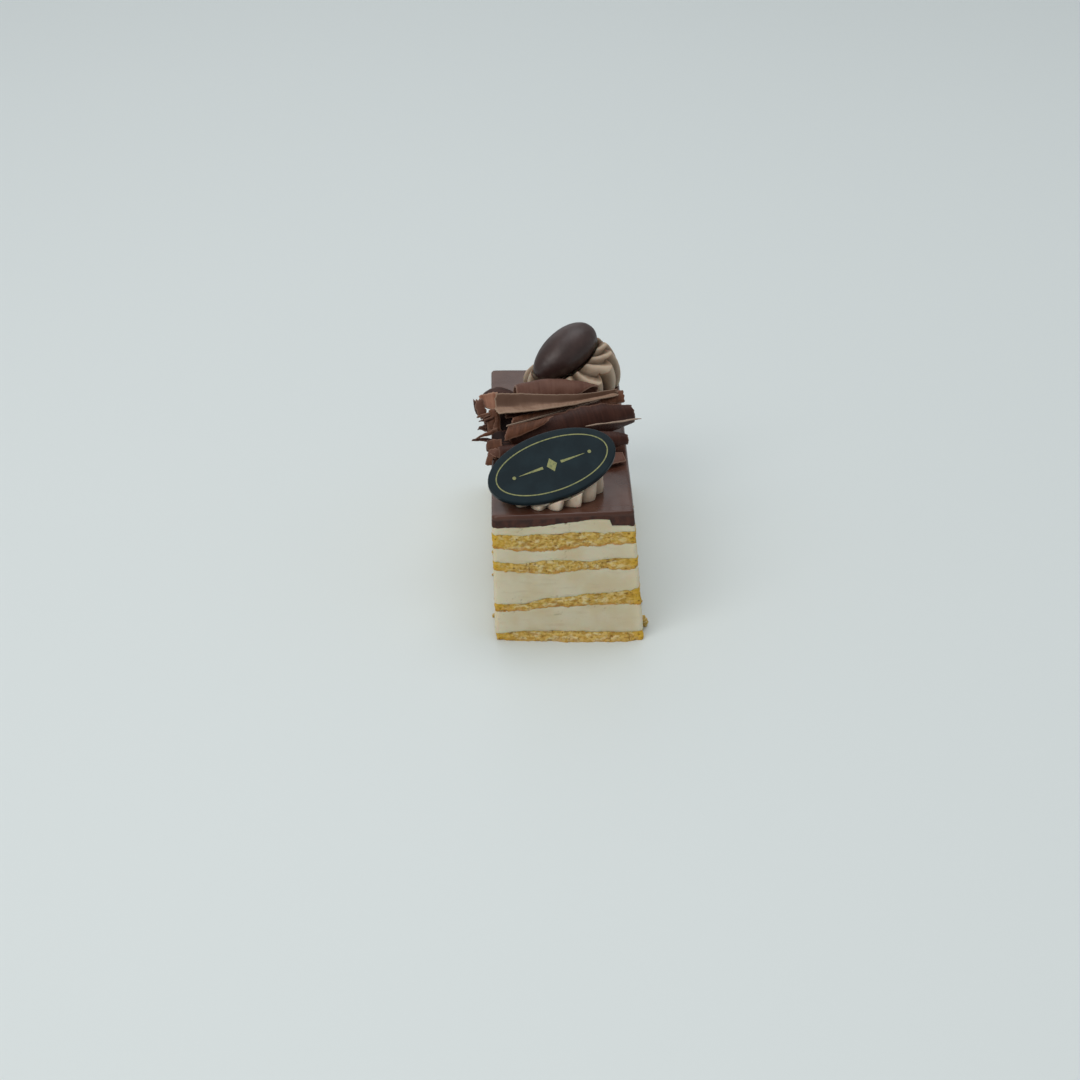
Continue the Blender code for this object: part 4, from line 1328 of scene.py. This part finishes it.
def piped_material(name, dark, light, crest):
    nodes = Nodes(name, 0.55, Subsurface_Weight=0.2, Subsurface_Scale=0.0015, Specular_IOR_Level=0.3)
    base = nodes.mottle(dark, light, 2.6, 5, 0.35, 0.65)
    # lighter crests: a painted highlight
    base = nodes.tint("crest", 0.8, base, crest)
    # darker grooves: painted shade
    deep = tuple(0.4 * part for part in dark)
    base = nodes.mix(nodes.ramp(nodes.attribute("groove"), 0.35, 0.95, 0.0, 0.75), base, deep)
    nodes.colour(base)
    nodes.bump(nodes.noise(0.9, 5), 0.08)
    nodes.bump(nodes.noise(0.3, 3), 0.03)
    return nodes.material


def shaving_material(name, dark, light, edge, roughness, far=None):
    """Chocolate: streaks run round a roll, and the edges are lighter as a painted highlight.

    far is the colour of the half of a sheet beyond its fold, if that differs: painted shade on the far
    wall.
    """
    nodes = Nodes(name, roughness, Specular_IOR_Level=0.2)
    own = nodes.add("ShaderNodeCombineXYZ")
    nodes.link(nodes.attribute("along"), own.inputs["X"])
    nodes.link(nodes.attribute("round"), own.inputs["Y"])
    streak = nodes.noise(0.9, 4, own.outputs[0], (1, 0.12, 1))
    patch = nodes.noise(4.5, 4)
    base = nodes.mix(nodes.ramp(streak, 0.3, 0.75, 0.0, 0.7), dark, light)
    base = nodes.mix(nodes.ramp(patch, 0.4, 0.7, 0.0, 0.6), base, light)
    # darker half beyond the fold: painted shade on the trough's far wall
    if far:
        share = nodes.attribute("across")
        ragged = nodes.ramp(nodes.noise(5.0, 5, own.outputs[0], (0.4, 1, 1)), 0.3, 0.7, -0.08, 0.08)
        moved = nodes.add("ShaderNodeMath", operation="ADD")
        nodes.link(share, moved.inputs[0])
        nodes.link(ragged, moved.inputs[1])
        base = nodes.mix(nodes.ramp(moved.outputs[0], 0.4, 0.66), base, far)
    # lighter edges: a painted highlight
    base = nodes.tint("edge", 0.8, base, edge)
    nodes.colour(base)
    nodes.bump(nodes.noise(0.4, 4, own.outputs[0], (1, 0.15, 1)), 0.04)
    nodes.bump(nodes.noise(0.5, 4), 0.05)
    return nodes.material


def plaque_material():
    nodes = Nodes("plaque", 0.42, Specular_IOR_Level=0.16)
    base = nodes.mottle((0.0075, 0.016, 0.021), (0.011, 0.023, 0.029), 6.0, 4, 0.35, 0.65)
    base = nodes.mottle(base, (0.09, 0.1, 0.11), 0.5, 2, 0.74, 0.8, 0.3)
    nodes.colour(base)
    nodes.roughness(nodes.ramp(nodes.noise(2.5, 4), 0.3, 0.7, 0.36, 0.46))
    nodes.bump(nodes.noise(1.5, 4), 0.02)
    return nodes.material


def print_material():
    nodes = Nodes("gold_print", 0.5, Specular_IOR_Level=0.3)
    nodes.colour(nodes.mottle((0.3, 0.3, 0.12), (0.18, 0.2, 0.09), 0.6, 4, 0.4, 0.7))
    return nodes.material


def almond_material():
    nodes = Nodes("almond", 0.41, IOR=1.5)
    nodes.colour(nodes.mottle((0.036, 0.017, 0.014), (0.052, 0.027, 0.023), 4.0, 4, 0.35, 0.65))
    nodes.bump(nodes.noise(2.2, 3), 0.05)
    return nodes.material


def floor_material():
    nodes = Nodes("floor", 0.5)
    tone = nodes.noise(400.0, 2)
    nodes.colour(nodes.mix(tone, (0.74, 0.79, 0.785), (0.76, 0.81, 0.805)))
    return nodes.material


def make_materials():
    materials = {
        "sponge": sponge_material(),
        "cream": cream_material(),
        "ganache": ganache_material(),
        "plaque": plaque_material(),
        "print": print_material(),
        "almond": almond_material(),
        "floor": floor_material(),
    }
    for name, look in PIPED_LOOKS.items():
        materials[name] = piped_material(name, *look)
    for name, look in SHAVING_LOOKS.items():
        materials[name] = shaving_material(name, *look)
    return materials


def main():
    materials = make_materials()
    make_camera()
    make_light()
    make_floor(materials["floor"])
    for name, lower, upper, kind, baked in LAYERS:
        make_layer(name, lower, upper, kind, baked, materials[kind])
    make_ganache(materials["ganache"])
    make_rosette(
        "rosette_front_piped", ROSETTE_FRONT, plaque_underside,
        materials["piped_cream_light"], "rosette_front",
    )
    make_rosette(
        "rosette_back_piped", ROSETTE_BACK, almond_underside,
        materials["piped_cream_mocha"], "rosette_back",
    )
    make_plaque(materials["plaque"])
    make_print(materials["print"])
    make_almond(materials["almond"])
    make_shavings(materials)
    make_splinters(materials)
    make_crumbs(materials["sponge"])


main()
